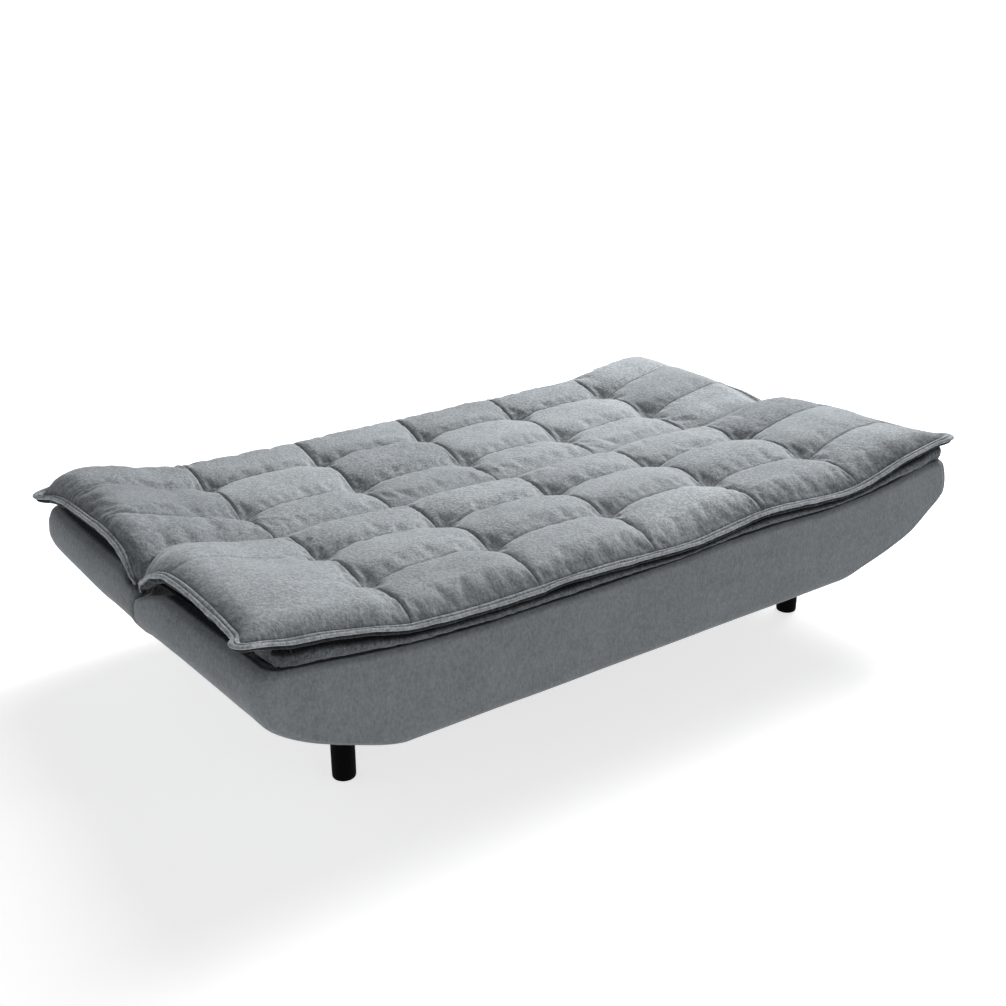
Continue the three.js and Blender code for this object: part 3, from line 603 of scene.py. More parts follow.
def build_stitches(side, name, P, seed):
    """Thread along the inner edge of the welt, one short stitch after another."""
    path, s = lip_path(side, P, 0.0062)
    tan, out, up = lip_frames(side, path)
    ring_n, verts, faces = 6, [], []
    rng = np.random.default_rng(seed)
    for i in range(4, len(path) - 4):
        c = path[i] + out[i] * 0.0002 + up[i] * 0.0026
        wob = rng.normal(0, 0.0001, 3)
        for k, (a, rad, dip) in enumerate(((-0.0021, 0.00018, -0.0010), (-0.0016, 0.00042, -0.0003), (0, 0.00050, 0.0), (0.0016, 0.00042, -0.0003), (0.0021, 0.00018, -0.0010))):
            for j in range(ring_n):
                th = 2 * math.pi * j / ring_n
                verts.append(c + tan[i] * a + up[i] * (dip + rad * math.sin(th)) + out[i] * rad * math.cos(th) + wob)
        b = len(verts) - 5 * ring_n
        for k in range(4):
            for j in range(ring_n):
                j2 = (j + 1) % ring_n
                faces.append((b + k * ring_n + j, b + k * ring_n + j2, b + (k + 1) * ring_n + j2, b + (k + 1) * ring_n + j))
        faces.append(tuple(b + j for j in range(ring_n)))
        faces.append(tuple(b + 4 * ring_n + j for j in reversed(range(ring_n))))
    ob = mesh_object(name, verts, faces)
    close_and_orient(ob)
    return ob


def build_under(side, name, P, seed):
    """Lower layer of the pad: a soft roll under the lip, gathered along its seams."""
    line = np.concatenate([P[0, ::-1], P[1:, 0], P[-1, 1:], P[::-1, -1][1:-1]])
    seg = np.linalg.norm(np.diff(line, axis=0, append=line[:1]), axis=1)
    s0 = np.concatenate([[0], np.cumsum(seg)])
    m = int(s0[-1] / 0.0042)
    q = np.linspace(0, s0[-1], m, endpoint=False)
    closed = np.concatenate([line, line[:1]])
    base = np.stack([np.interp(q, s0, closed[:, i]) for i in range(3)], -1)
    hinge = np.abs(base[:, 1]) < 0.05
    x, y = base[:, 0], base[:, 1]
    # plan of the roll: inside the lip, further in at the ends
    gx = np.clip(np.abs(x), 0, np.where(x < 0, 0.888, 0.960))
    gy = np.where(hinge, 0.012, np.clip(np.abs(y), 0.012, 0.5345))
    near = smooth((np.abs(x) - 0.86) / 0.06) * smooth((np.abs(y) - 0.49) / 0.05)
    gx, gy = gx - np.where(x < 0, 0.012, 0.004) * near, gy - np.where(x < 0, 0.012, 0.005) * near
    px, py = np.sign(x) * gx, side * gy
    for _ in range(16):
        px = 0.5 * px + 0.25 * (np.roll(px, 1) + np.roll(px, -1))
        py = 0.5 * py + 0.25 * (np.roll(py, 1) + np.roll(py, -1))
    zb = rim(px, py) + 0.0022
    top = np.where(hinge, np.maximum(zb + 0.012, 0.372), base[:, 2] - 0.015)
    top = np.minimum(top, zb + 0.090)
    zb = np.where(hinge, np.minimum(zb, HINGE_Z - 0.001), zb)      # turned down over the timber along the hinge
    # outward direction in plan
    d = np.gradient(np.stack([px, py], -1), axis=0)
    nrm = np.stack([d[:, 1], -d[:, 0]], -1)
    nrm /= np.maximum(np.linalg.norm(nrm, axis=1, keepdims=True), 1e-9)
    cen = np.array([0, side * 0.28])
    nrm *= np.sign(np.sum(nrm * (np.stack([px, py], -1) - cen), axis=1, keepdims=True))
    is_end = smooth((np.abs(x) - 0.87) / 0.04)
    bulge = np.where(hinge, 0.0, 0.0115 - 0.003 * is_end)
    pleat = 0.0024 * noise(q, q * 0 + 2, 0.012, seed) + 0.0016 * noise(q, q * 0 + 5, 0.0062, seed + 1) + 0.0018 * noise(q, q * 0 + 9, 0.05, seed + 2)
    levels = np.linspace(0, 1, 11)
    rings = []
    for lv in levels:
        b = (math.sin(math.pi * (0.03 + 0.93 * lv))) ** 0.62
        off = bulge * b - (0.008 + 0.012 * lv) * (1 - b) * (~hinge) + pleat * (~hinge) * (0.25 + 0.75 * abs(2 * lv - 1) ** 0.7)
        r = np.stack([px + nrm[:, 0] * off, py + nrm[:, 1] * off, zb + (top - zb) * lv], -1)
        rings.append(r)
    n = len(q)
    # back down inside the pad, so that the layer is one closed ring
    for inset, lv in ((0.022, 0.90), (0.030, 0.5), (0.022, 0.03)):
        inset = np.where(hinge, 0.010, inset)
        rings.append(np.stack([px - nrm[:, 0] * inset, py - nrm[:, 1] * inset, zb + (top - zb) * lv], -1))
    verts = np.concatenate(rings)
    faces = []
    nxt = np.roll(np.arange(n), -1)
    for i in range(len(levels) - 1):
        a = np.arange(n) + i * n
        c = a + n
        faces += np.stack([a, a[nxt], c[nxt], c], -1).tolist()
    m = len(rings)
    for i in range(len(levels) - 1, m):
        a = np.arange(n) + i * n
        c = np.arange(n) + ((i + 1) % m) * n
        faces += np.stack([a, a[nxt], c[nxt], c], -1).tolist()
    ob = mesh_object(name, verts, faces)
    lv = np.repeat(np.concatenate([levels, [1, 1, 1]]), n)
    # painted shade: the roll is darkened at its foot, along its top under the lip, and all over at the left end where
    # the lip overhangs it
    left_end_shadow = smooth((-px - 0.80) / 0.05) * (1.0 if side > 0 else 1 - 0.6 * smooth((np.abs(py) - 0.30) / 0.15))
    left_end_shadow = np.tile(left_end_shadow, len(levels) + 3)
    painted_shade_mark(ob, np.clip(np.clip(1 - lv / 0.10, 0, 1) + np.clip((lv - 0.60) / 0.18, 0, 1) + 0.85 * left_end_shadow, 0, 1))
    close_and_orient(ob)
    return ob


# ------------------------------------------------------------------ upholstered bases
HULL_Z = [0.168, 0.176, 0.186, 0.200, 0.215, 0.234, 0.253, 0.272, 0.290, 0.310, 0.330, 0.350, 0.376, 0.400, 0.420]
HULL_L = pchip(HULL_Z, [0.630, 0.654, 0.678, 0.712, 0.748, 0.797, 0.840, 0.874, 0.898, 0.914, 0.924, 0.928, 0.927, 0.920, 0.908])
HULL_R = pchip(HULL_Z, [0.612, 0.636, 0.660, 0.698, 0.756, 0.819, 0.870, 0.900, 0.926, 0.956, 0.974, 0.976, 0.973, 0.966, 0.956])


def base_rim(x, y):
    return np.minimum(np.maximum(rim(x, y), frame_rim(x, y) - 0.004), HINGE_Z - 0.006 + 0.75 * np.maximum(0, np.abs(y) - 0.004))


def left_end(y):
    """How far the left end of the bases stands out beyond its profile."""
    return LEFT_OUT(np.clip(y, -0.55, 0.55))


LEFT_OUT = pchip([-0.55, -0.515, -0.42, -0.33, -0.23, -0.10, 0.0, 0.11, 0.23, 0.30, 0.37, 0.47, 0.55],
                 [0.0, 0.0, 0.001, 0.004, 0.008, 0.014, 0.018, 0.022, 0.023, 0.023, 0.023, 0.021, 0.011])


def build_base(side, name, seed):
    NA = 560
    lv = np.concatenate([np.linspace(0, 0.10, 9)[:-1], np.linspace(0.10, 0.94, 30)[:-1], 0.94 + 0.06 * np.sin(np.linspace(0, 1, 6) * np.pi / 2)])
    rings = []
    plan = []

    def ring(t, inset, z_off=0.0, tuck_top=0.0):
        zref = BASE_Z + t * (0.415 - BASE_Z)
        xl, xr = float(HULL_L(zref)) - inset, float(HULL_R(zref)) - inset
        d = max(0.0, 0.030 - (zref - BASE_Z))
        tuck = 0.030 - math.sqrt(0.030 ** 2 - d * d)
        yo, yi = 0.546 - tuck * 0.9 - inset, 0.0032 + inset * (inset < 0.02) + (0.02 if inset >= 0.02 else 0)
        ro, ri = max(0.006, 0.034 - inset * 0.4), 0.008
        pts = []
        segs = [(-xl + ro, xr - ro, 200), ]
        xs = np.linspace(-xl + ro, xr - ro, 230)
        pts += [(x, yo) for x in xs]
        pts += [(xr - ro + ro * math.cos(a), yo - ro + ro * math.sin(a)) for a in np.linspace(math.pi / 2, 0, 14)[1:-1]]
        pts += [(xr, y) for y in np.linspace(yo - ro, yi + ri, 60)]
        pts += [(xr - ri + ri * math.cos(a), yi + ri + ri * math.sin(a)) for a in np.linspace(0, -math.pi / 2, 6)[1:-1]]
        pts += [(x, yi) for x in np.linspace(xr - ri, -xl + ri, 120)]
        pts += [(-xl + ri + ri * math.cos(a), yi + ri + ri * math.sin(a)) for a in np.linspace(-math.pi / 2, -math.pi, 6)[1:-1]]
        pts += [(-xl, y) for y in np.linspace(yi + ri, yo - ro, 60)]
        pts += [(-xl + ro + ro * math.cos(a), yo - ro + ro * math.sin(a)) for a in np.linspace(math.pi, math.pi / 2, 14)[1:-1]]
        p = np.array(pts)
        x, y = p[:, 0], side * p[:, 1]
        x = x - left_end(y) * float(smooth((zref - 0.19) / 0.09)) * smooth((-x - 0.80) / 0.08)
        top = base_rim(x, y)
        z = BASE_Z + t * (top - BASE_Z) + z_off
        if inset > 0.01 and t > 0.5:
            z = np.maximum(z, np.minimum(frame_rim(x, y), HINGE_Z - 0.006 + 0.75 * np.maximum(0, np.abs(y) - 0.004)) + 0.0012)
        lim = HINGE_Z - (0.026 if side < 0 else 0.014) + 0.42 * np.abs(y)      # the inner corners of the ends are rounded off
        cut = smooth((np.abs(x) - 0.896) / 0.014) * (z > lim)
        z = z - cut * 0.88 * (z - lim)
        return np.stack([x, y, z], -1)

    ref = ring(0.6, 0)
    cen = np.array([0.0, side * 0.27])
    rings.append(ring(0, 0.050))
    for t in lv:
        r = ring(float(t), 0.0)
        n = np.gradient(r[:, :2], axis=0)
        nn = np.stack([n[:, 1], -n[:, 0]], -1)
        nn /= np.maximum(np.linalg.norm(nn, axis=1, keepdims=True), 1e-9)
        nn *= np.sign(np.sum(nn * (r[:, :2] - cen), axis=1, keepdims=True))
        outer = smooth((np.abs(r[:, 1]) - 0.012) / 0.02)
        s = r[:, 0] * 1.0 + r[:, 1] * 0.7
        full = 0.0030 * math.sin(math.pi * min(1, t * 1.02)) ** 0.8
        off = full + 0.0010 * noise(s, r[:, 2], 0.16, seed) + 0.0004 * noise(s, r[:, 2], 0.05, seed + 1)
        # rounding in at the top edge
        if t > 0.94:
            off = off - 0.008 * ((t - 0.94) / 0.06) ** 2.5
        # corner seams: a shallow stitched valley
        for xc in (-float(HULL_L(BASE_Z + t * 0.247)) + 0.024, float(HULL_R(BASE_Z + t * 0.247)) - 0.024):
            dd = np.hypot(r[:, 0] - xc, np.abs(r[:, 1]) - 0.5445)
            off = off - 0.0016 * np.exp(-(dd / 0.0045) ** 2) + 0.0006 * np.exp(-((dd - 0.010) / 0.005) ** 2)
        # small pulls along the top edge
        off = off + 0.0007 * noise(s, s * 0 + 1, 0.018, seed + 3) * math.exp(-(1 - t) / 0.10)
        r[:, :2] += nn * (off * outer)[:, None]
        rings.append(r)
    rings.append(ring(1.0, 0.014, -0.0005))
    rings.append(ring(1.0, 0.036, -0.0015))
    rings.append(ring(0.92, 0.038, -0.004))
    rings.append(ring(0.10, 0.038, 0.004))
    rings.append(ring(0.0, 0.050, 0.008))
    n = len(rings[0])
    verts = np.concatenate(rings)
    m = len(rings)
    nxt = np.roll(np.arange(n), -1)
    faces = []
    for i in range(m):
        a = np.arange(n) + i * n
        c = np.arange(n) + ((i + 1) % m) * n
        faces += np.stack([a, a[nxt], c[nxt], c], -1).tolist()
    ob = mesh_object(name, verts, faces)
    # painted shadow: the cloth turned in under the pad and under the bottom is darkened, and the top edge a little
    painted_shade_mark(ob, np.repeat(np.concatenate([[0.6], np.zeros(m - 7), [0.25], np.ones(5)]), n))
    close_and_orient(ob)
    return ob


# ------------------------------------------------------------------ materials
def nodes_of(name):
    m = bpy.data.materials.new(name)
    m.use_nodes = True
    nt = m.node_tree
    nt.nodes.clear()
    out = nt.nodes.new("ShaderNodeOutputMaterial")
    b = nt.nodes.new("ShaderNodeBsdfPrincipled")
    nt.links.new(b.outputs[0], out.inputs[0])
    return m, nt, b


def add_node(nt, kind, **kw):
    n = nt.nodes.new(kind)
    for k, v in kw.items():
        if k.startswith("i_"):
            n.inputs[k[2:].replace("_", " ")].default_value = v
        else:
            setattr(n, k, v)
    return n


def ramp(nt, stops, src):
    r = nt.nodes.new("ShaderNodeValToRGB")
    r.color_ramp.elements[0].position, r.color_ramp.elements[0].color = stops[0][0], (*stops[0][1], 1)
    r.color_ramp.elements[1].position, r.color_ramp.elements[1].color = stops[-1][0], (*stops[-1][1], 1)
    for p, c in stops[1:-1]:
        e = r.color_ramp.elements.new(p)
        e.color = (*c, 1)
    nt.links.new(src, r.inputs[0])
    return r


def mix(nt, kind, fac, a, b):
    m = nt.nodes.new("ShaderNodeMix")
    m.data_type = "RGBA"
    m.blend_type = kind
    if hasattr(fac, "is_linked") or hasattr(fac, "links"):
        nt.links.new(fac, m.inputs["Factor"])
    else:
        m.inputs["Factor"].default_value = fac
    for s, v in ((m.inputs[6], a), (m.inputs[7], b)):
        if isinstance(v, tuple):
            s.default_value = (*v, 1)
        else:
            nt.links.new(v, s)
    return m.outputs[2]


def math_node(nt, op, a, b=None, clamp=False):
    m = nt.nodes.new("ShaderNodeMath")
    m.operation = op
    m.use_clamp = clamp
    for s, v in ((m.inputs[0], a), (m.inputs[1], b)):
        if v is None:
            continue
        if isinstance(v, (int, float)):
            s.default_value = v
        else:
            nt.links.new(v, s)
    return m.outputs[0]


def noise_tex(nt, coord, scale, detail=2.0, rough=0.5, stretch=None, dist=0.0):
    if stretch is not None:
        mp = nt.nodes.new("ShaderNodeMapping")
        mp.inputs["Scale"].default_value = stretch
        nt.links.new(coord, mp.inputs[0])
        coord = mp.outputs[0]
    t = nt.nodes.new("ShaderNodeTexNoise")
    t.inputs["Scale"].default_value = scale
    t.inputs["Detail"].default_value = detail
    t.inputs["Roughness"].default_value = rough
    t.inputs["Distortion"].default_value = dist
    nt.links.new(coord, t.inputs["Vector"])
    return t.outputs[0]


def stretch_range(nt, src, lo, hi):
    m = nt.nodes.new("ShaderNodeMapRange")
    m.inputs["From Min"].default_value = lo
    m.inputs["From Max"].default_value = hi
    nt.links.new(src, m.inputs["Value"])
    return m.outputs[0]


def velvet(name, dark, light, patches, mottled, streak):
    """Short pile: brushed areas, heathered flecks, fine fibres and a soft sheen, with painted shade in the seams, on
    the pad's steep edges and where a mesh is marked as shaded.
    """
    m, nt, b = nodes_of(name)
    tc = nt.nodes.new("ShaderNodeTexCoord")
    co = tc.outputs["Object"]
    brushed = stretch_range(nt, noise_tex(nt, co, 9.0, 5.0, 0.62, dist=0.7), 0.28, 0.72)
    area_ = stretch_range(nt, noise_tex(nt, co, 38.0, 3.0, 0.6, dist=0.3), 0.28, 0.72)
    fleck = stretch_range(nt, noise_tex(nt, co, 150.0, 2.0, 0.65), 0.38, 0.62)
    dash = stretch_range(nt, noise_tex(nt, co, 210.0, 2.0, 0.65, stretch=(1.0, 0.62, 0.50)), 0.34, 0.66)
    fine = noise_tex(nt, co, 700.0, 2.0, 0.6)

    def centred(src, w):
        return math_node(nt, "MULTIPLY", math_node(nt, "SUBTRACT", src, 0.5), w)
    flecks = math_node(nt, "ADD", centred(fleck, mottled), centred(dash, mottled * 0.8 + streak))
    v = math_node(nt, "ADD", centred(brushed, 0.18), centred(area_, 0.13))
    if patches:
        at = nt.nodes.new("ShaderNodeAttribute")
        at.attribute_name = "patch_tone_and_shade"
        v = math_node(nt, "ADD", v, centred(at.outputs["Fac"], 0.24))
        at = nt.nodes.new("ShaderNodeAttribute")
        at.attribute_name = "flecks"
        flecks = math_node(nt, "MULTIPLY", flecks, math_node(nt, "ADD", math_node(nt, "MULTIPLY", at.outputs["Fac"], 0.4), 0.6))
    v = math_node(nt, "ADD", v, flecks)
    v = math_node(nt, "ADD", v, centred(fine, 0.18))
    v = math_node(nt, "ADD", v, 0.5, clamp=True)
    mid = tuple(0.5 * (p + q) for p, q in zip(dark, light))
    col = ramp(nt, [(0.0, dark), (0.5, mid), (1.0, light)], v).outputs[0]
    if patches:
        # painted shade: darker in the seam grooves
        at = nt.nodes.new("ShaderNodeAttribute")
        at.attribute_name = "seam"
        near = math_node(nt, "SUBTRACT", 1.0, math_node(nt, "DIVIDE", at.outputs["Fac"], 0.0024), clamp=True)
        col = mix(nt, "MULTIPLY", math_node(nt, "MULTIPLY", near, 0.42), col, (0.12, 0.13, 0.14))
        # painted shade: darker, in streaks, on the steep fall of the pad down to the lip and at its ends
        at = nt.nodes.new("ShaderNodeAttribute")
        at.attribute_name = "rim"
        by_rim = math_node(nt, "SUBTRACT", 1.0, math_node(nt, "DIVIDE", at.outputs["Fac"], 0.040), clamp=True)
        shade_streaks = stretch_range(nt, noise_tex(nt, co, 120.0, 2.0, 0.6, stretch=(1.0, 0.30, 0.12)), 0.32, 0.66)
        painted_edge_shade = math_node(nt, "MULTIPLY", by_rim, math_node(nt, "ADD", math_node(nt, "MULTIPLY", shade_streaks, 0.45), 0.48), clamp=True)
        col = mix(nt, "MULTIPLY", painted_edge_shade, col, (0.34, 0.35, 0.36))
    else:
        # painted shade: darkened, nearly to black, where the mesh is marked as lying in shade
        at = nt.nodes.new("ShaderNodeAttribute")
        at.attribute_name = "painted_shade"
        col = mix(nt, "MULTIPLY", math_node(nt, "MULTIPLY", at.outputs["Fac"], 0.97), col, (0.07, 0.073, 0.076))
    nt.links.new(col, b.inputs["Base Color"])
    b.inputs["Roughness"].default_value = 0.95
    b.inputs["Specular IOR Level"].default_value = 0.08
    b.inputs["Sheen Weight"].default_value = 0.30
    b.inputs["Sheen Roughness"].default_value = 0.32
    b.inputs["Sheen Tint"].default_value = (0.80, 0.84, 0.88, 1)
    bump1 = nt.nodes.new("ShaderNodeBump")
    bump1.inputs["Strength"].default_value = 0.55
    bump1.inputs["Distance"].default_value = 0.0010
    nt.links.new(fleck, bump1.inputs["Height"])
    bump2 = nt.nodes.new("ShaderNodeBump")
    bump2.inputs["Strength"].default_value = 0.30
    bump2.inputs["Distance"].default_value = 0.0005
    nt.links.new(fine, bump2.inputs["Height"])
    nt.links.new(bump1.outputs[0], bump2.inputs["Normal"])
    nt.links.new(bump2.outputs[0], b.inputs["Normal"])
    return m


def hard(name, dark, light, rough, metal=0.0, scale=120.0, bump=0.1, stretch=None, dist=0.0005, gloss=0.5):
    m, nt, b = nodes_of(name)
    tc = nt.nodes.new("ShaderNodeTexCoord")
    n1 = noise_tex(nt, tc.outputs["Object"], scale, 4.0, 0.6, stretch=stretch)
    n2 = noise_tex(nt, tc.outputs["Object"], scale * 7, 2.0, 0.5, stretch=stretch)
    col = ramp(nt, [(0.3, dark), (0.7, light)], n1)
    nt.links.new(col.outputs[0], b.inputs["Base Color"])
    rr = nt.nodes.new("ShaderNodeMapRange")
    rr.inputs["To Min"].default_value = rough - 0.06
    rr.inputs["To Max"].default_value = rough + 0.08
    nt.links.new(n1, rr.inputs["Value"])
    nt.links.new(rr.outputs[0], b.inputs["Roughness"])
    b.inputs["Metallic"].default_value = metal
    b.inputs["Specular IOR Level"].default_value = gloss
    bp = nt.nodes.new("ShaderNodeBump")
    bp.inputs["Strength"].default_value = bump
    bp.inputs["Distance"].default_value = dist
    nt.links.new(n2, bp.inputs["Height"])
    nt.links.new(bp.outputs[0], b.inputs["Normal"])
    return m


DARK, LIGHT = (0.115, 0.126, 0.136), (0.424, 0.449, 0.469)
MAT_SEAT = velvet("pad_velvet_front", DARK, LIGHT, True, 0.34, 0.0)
MAT_BACK = velvet("pad_velvet_rear", DARK, LIGHT, True, 0.34, 0.0)
MAT_LIP = velvet("lip_velvet", (0.105, 0.116, 0.126), (0.40, 0.425, 0.445), False, 0.36, 0.10)
# painted shade: the roll is the pad's velvet given darker colours, for the shade under the lip
MAT_ROLL = velvet("roll_velvet", (0.035, 0.040, 0.045), (0.138, 0.149, 0.160), False, 0.34, 0.25)
MAT_BASE = velvet("base_velvet", (0.086, 0.095, 0.103), (0.218, 0.236, 0.250), False, 0.12, 0.20)
MAT_THREAD = hard("thread", (0.10, 0.11, 0.12), (0.20, 0.215, 0.225), 0.70, scale=900.0, bump=0.3, dist=0.0002)
MAT_WOOD = hard("pine", (0.30, 0.19, 0.10), (0.52, 0.36, 0.20), 0.70, scale=9.0, bump=0.25, stretch=(1, 12, 12))
MAT_CLOTH = hard("dust_cloth", (0.008, 0.008, 0.009), (0.022, 0.022, 0.024), 0.88, scale=500.0, bump=0.5)
MAT_SPRING = hard("spring_wire", (0.30, 0.31, 0.32), (0.45, 0.46, 0.48), 0.36, 1.0, scale=240.0, bump=0.1)
MAT_STEEL = hard("black_powder_coat", (0.010, 0.010, 0.011), (0.020, 0.020, 0.022), 0.60, 0.0, scale=700.0, bump=0.35, dist=0.0003, gloss=0.12)
MAT_ZINC = hard("zinc_plate", (0.46, 0.47, 0.49), (0.64, 0.65, 0.67), 0.34, 1.0, scale=60.0, bump=0.08)
MAT_PLASTIC = hard("black_plastic", (0.0010, 0.0010, 0.0011), (0.0020, 0.0020, 0.0021), 0.66, 0.0, scale=900.0, bump=0.25, dist=0.0002, gloss=0.03)
MAT_RUBBER = hard("rubber", (0.012, 0.012, 0.012), (0.025, 0.025, 0.025), 0.85, 0.0, scale=300.0, bump=0.3)
BY_SLOT = {"pad_fabric": MAT_SEAT, "base_fabric": MAT_BASE, "timber": MAT_WOOD, "lining": MAT_CLOTH,
           "spring_steel": MAT_SPRING, "black_steel": MAT_STEEL, "zinc_steel": MAT_ZINC,
           "black_plastic": MAT_PLASTIC, "rubber": MAT_RUBBER}
SLOT_OF = {s["node"]: s["material_slot"] for s in frame["record"]["subparts"]}
for node, ob in frame["nodes"].items():
    mat = BY_SLOT[SLOT_OF[node]]
    if not ob.material_slots:
        ob.data.materials.append(mat)
    for slot_ in ob.material_slots:
        slot_.material = mat


def paint(ob, mat):
    ob.data.materials.clear()
    ob.data.materials.append(mat)


# ------------------------------------------------------------------ build
for side, body, seed, mat_pad in ((-1, "base", 101, MAT_SEAT), (1, "back", 202, MAT_BACK)):
    word = "seat" if side < 0 else "back"
    pad, P = build_pad(side, word + "_pad_quilt", seed)
    lip = build_lip(side, word + "_pad_lip", P, seed + 31)
    under = build_under(side, word + "_pad_roll", P, seed + 41)
    base = build_base(side, word + "_base_upholstery", seed + 51)
    paint(pad, mat_pad)
    paint(lip, MAT_LIP)
    paint(under, MAT_ROLL)
    paint(base, MAT_BASE)
    thread = build_stitches(side, word + "_pad_stitching", P, seed + 61)
    paint(thread, MAT_THREAD)
    for ob in (pad, lip, under, base, thread):
        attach(ob, body)
    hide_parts(word + "_pad")
    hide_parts(word + "_cover")
    for ob in (pad, lip, under, thread):
        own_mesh(ob)


def build_dust_cloth(node, body):
    """Thin non-woven cloth stapled over the opening, a little slack between its staples."""
    lo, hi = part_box(node)
    nx, ny = 260, 72
    X, Y = np.meshgrid(np.linspace(lo[0], hi[0], nx), np.linspace(lo[1], hi[1], ny), indexing="ij")
    ex, ey = np.minimum(X - lo[0], hi[0] - X), np.minimum(Y - lo[1], hi[1] - Y)
    e = np.minimum(ex, ey)
    inside = smooth((e - 0.012) / 0.10)
    along = np.where(ey < ex, X, Y)
    gather_ = np.exp(-((e - 0.020) / 0.030) ** 2) * np.cos(2 * np.pi * along / 0.060) * 0.0004
    Z = (lo[2] + hi[2]) / 2 - 0.0010 * inside + 0.0007 * inside * noise(X, Y, 0.11, 311) + gather_ * smooth(e / 0.010)
    n = nx * ny
    top = np.stack([X, Y, Z + 0.0003], -1).reshape(-1, 3)
    low = np.stack([X, Y, Z - 0.0003], -1).reshape(-1, 3)
    idx = np.arange(n).reshape(nx, ny)
    q = np.stack([idx[:-1, :-1], idx[1:, :-1], idx[1:, 1:], idx[:-1, 1:]], -1).reshape(-1, 4)
    loop = np.concatenate([idx[:, 0], idx[-1, 1:], idx[::-1, -1][1:], idx[0, ::-1][1:-1]])
    nxt = np.roll(loop, -1)
    faces = q.tolist() + (q[:, ::-1] + n).tolist() + np.stack([loop, loop + n, nxt + n, nxt], -1).tolist()
    ob = mesh_object(node + "_fabric", np.concatenate([top, low]), faces)
    close_and_orient(ob)
    paint(ob, MAT_CLOTH)
    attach(ob, body)
    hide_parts(node)
    # staples
    verts, tris = [], []
    zs = lo[2] + (hi[2] - lo[2]) / 2 - 0.0005
    spots = [(x, y, 0) for x in np.arange(lo[0] + 0.03, hi[0] - 0.02, 0.06) for y in (lo[1] + 0.007, hi[1] - 0.007)]
    spots += [(x, y, 1) for y in np.arange(lo[1] + 0.04, hi[1] - 0.02, 0.06) for x in (lo[0] + 0.007, hi[0] - 0.007)]
    for x, y, turned in spots:
        b = len(verts)
        for i in range(9):
            t = -0.0050 + 0.0100 * i / 8
            dip = 0.0005 * (abs(t) / 0.0050) ** 6
            for j in range(6):
                a = 2 * math.pi * j / 6
                u_, v_ = t, 0.00045 * math.cos(a)
                zz = zs - 0.0003 + dip + 0.00035 * math.sin(a)
                verts.append((x + (v_ if turned else u_), y + (u_ if turned else v_), zz))
        for i in range(8):
            for j in range(6):
                j2 = (j + 1) % 6
                tris.append((b + i * 6 + j, b + i * 6 + j2, b + (i + 1) * 6 + j2, b + (i + 1) * 6 + j))
        tris.append(tuple(b + j for j in range(6)))
        tris.append(tuple(b + 48 + j for j in reversed(range(6))))
    st = mesh_object(node + "_staples", verts, tris)
    close_and_orient(st)
    paint(st, MAT_ZINC)
    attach(st, body)


build_dust_cloth("seat_dust_cloth", "base")
build_dust_cloth("back_dust_cloth", "back")


def build_leg(node):
    lo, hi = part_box(node)
    cx, cy = (lo[0] + hi[0]) / 2, (lo[1] + hi[1]) / 2
    prof = [(0.0, 0.0), (0.0190, 0.0), (0.0222, 0.0005), (0.0240, 0.0018), (0.0249, 0.0040), (0.0252, 0.0080), (0.0254, 0.030),
            (0.0255, 0.060), (0.0255, 0.100), (0.0255, 0.124), (0.0254, 0.1285), (0.0248, 0.1312), (0.0238, 0.1326), (0.0050, 0.1326),
            (0.0048, 0.1450), (0.0, 0.1450)]
    n = 64
    verts, faces = [(cx, cy, prof[0][1])], []
    for r, z in prof[1:-1]:
        for i in range(n):
            a = 2 * math.pi * i / n
            verts.append((cx + r * math.cos(a), cy + r * math.sin(a), z))
    verts.append((cx, cy, prof[-1][1]))
    last = len(verts) - 1
    for i in range(n):
        j = (i + 1) % n
        faces.append((0, 1 + j, 1 + i))
        for k in range(len(prof) - 3):
            a, b = 1 + k * n, 1 + (k + 1) * n
            faces.append((a + i, a + j, b + j, b + i))
        a = 1 + (len(prof) - 3) * n
        faces.append((a + i, a + j, last))
    ob = mesh_object(node + "_moulding", verts, faces)
    close_and_orient(ob)
    mod = ob.modifiers.new("edge", "EDGE_SPLIT")
    mod.split_angle = math.radians(50)
    paint(ob, MAT_PLASTIC)
    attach(ob, "base")
    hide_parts(node)
    return ob


for node in ("leg_front_left", "leg_front_right", "leg_rear_left", "leg_rear_right"):
    build_leg(node)

# ------------------------------------------------------------------ floor and light
# a flat disc that turns up far behind the object into a low wall all round
verts, faces, SEG = [(0, 0, -0.0005)], [], 128
for rr_, zz_ in ((2.0, 0), (8.0, 0), (22.0, 0), (24.0, 0.12), (26.0, 0.5), (27.8, 1.2), (29.2, 2.3), (30.2, 3.8), (30.7, 5.5), (30.9, 15.0)):
    verts += [(rr_ * math.cos(2 * math.pi * i / SEG), rr_ * math.sin(2 * math.pi * i / SEG), zz_ - 0.0005) for i in range(SEG)]
for i in range(SEG):
    faces.append((0, 1 + i, 1 + (i + 1) % SEG))
    for k in range(9):
        a_, b_ = 1 + k * SEG, 1 + (k + 1) * SEG
        faces.append((a_ + i, b_ + i, b_ + (i + 1) % SEG, a_ + (i + 1) % SEG))
floor = mesh_object("floor", verts, faces)
me = floor.data
fm, nt, b = nodes_of("floor_paint_and_glow")
b.inputs["Base Color"].default_value = (0.55, 0.55, 0.55, 1)
b.inputs["Roughness"].default_value = 0.9
b.inputs["Specular IOR Level"].default_value = 0.1
# painted light: the floor and wall glow, more strongly away from the object and less higher up the wall; the glow pales
# the cast shadows on the floor and hides the wall's own shadow
b.inputs["Emission Color"].default_value = (1, 1, 1, 1)
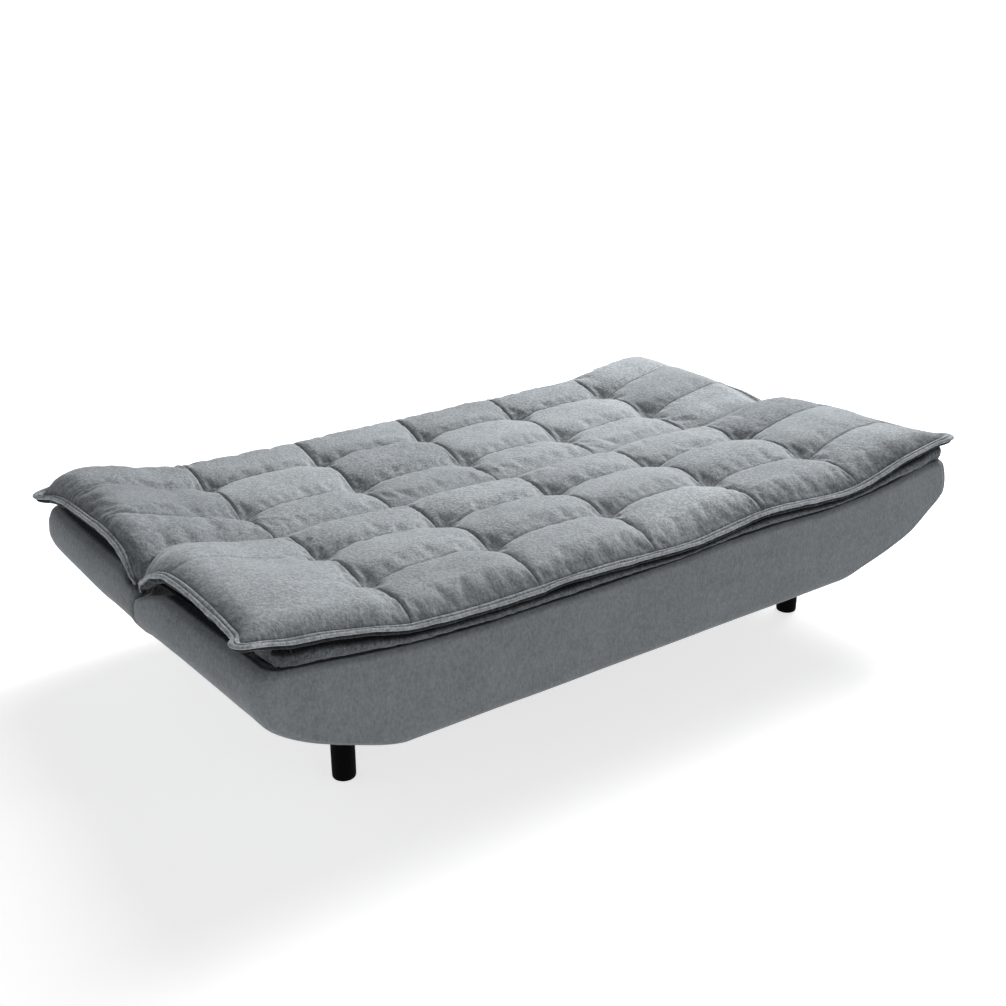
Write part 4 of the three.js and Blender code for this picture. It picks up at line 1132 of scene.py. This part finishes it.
place = nt.nodes.new("ShaderNodeNewGeometry")
reach = nt.nodes.new("ShaderNodeVectorMath")
reach.operation = "LENGTH"
nt.links.new(place.outputs["Position"], reach.inputs[0])
far = nt.nodes.new("ShaderNodeMapRange")
far.inputs["From Min"].default_value = 9.0
far.inputs["From Max"].default_value = 17.0
far.inputs["To Min"].default_value = 0.70
far.inputs["To Max"].default_value = 0.92
nt.links.new(reach.outputs["Value"], far.inputs["Value"])
up = nt.nodes.new("ShaderNodeSeparateXYZ")
nt.links.new(place.outputs["Position"], up.inputs[0])
dim = nt.nodes.new("ShaderNodeMapRange")
dim.inputs["From Min"].default_value = 1.2
dim.inputs["From Max"].default_value = 8.0
dim.inputs["To Min"].default_value = 1.0
dim.inputs["To Max"].default_value = 0.35
nt.links.new(up.outputs["Z"], dim.inputs["Value"])
nt.links.new(math_node(nt, "MULTIPLY", far.outputs["Result"], dim.outputs["Result"]), b.inputs["Emission Strength"])
me.materials.append(fm)

world = bpy.data.worlds.new("studio")
bpy.context.scene.world = world
world.use_nodes = True
world.node_tree.nodes["Background"].inputs[0].default_value = (1, 1, 1, 1)
world.node_tree.nodes["Background"].inputs[1].default_value = 0.09


def lamp(name, kind, loc, aim, power, **more):
    d = bpy.data.lights.new(name, kind)
    d.energy = power
    for k_, v_ in more.items():
        setattr(d, k_, v_)
    o = bpy.data.objects.new(name, d)
    bpy.context.scene.collection.objects.link(o)
    o.location = loc
    o.rotation_euler = (Vector(aim) - Vector(loc)).to_track_quat("-Z", "Y").to_euler()


lamp("key", "SUN", (2.2, 1.2, 2.9), (0, 0, 0), 1.6, angle=math.radians(32))
lamp("side", "AREA", (3.1, 1.1, 2.9), (0.1, 0, 0.4), 225, shape="RECTANGLE", size=1.8, size_y=1.8)
lamp("fill", "AREA", (1.2, -4.2, 2.2), (0.3, 0, 0.3), 6, shape="RECTANGLE", size=2.4, size_y=1.8)

if hasattr(bpy.context.scene.view_settings, "view_transform"):
    bpy.context.scene.view_settings.view_transform = "Standard"
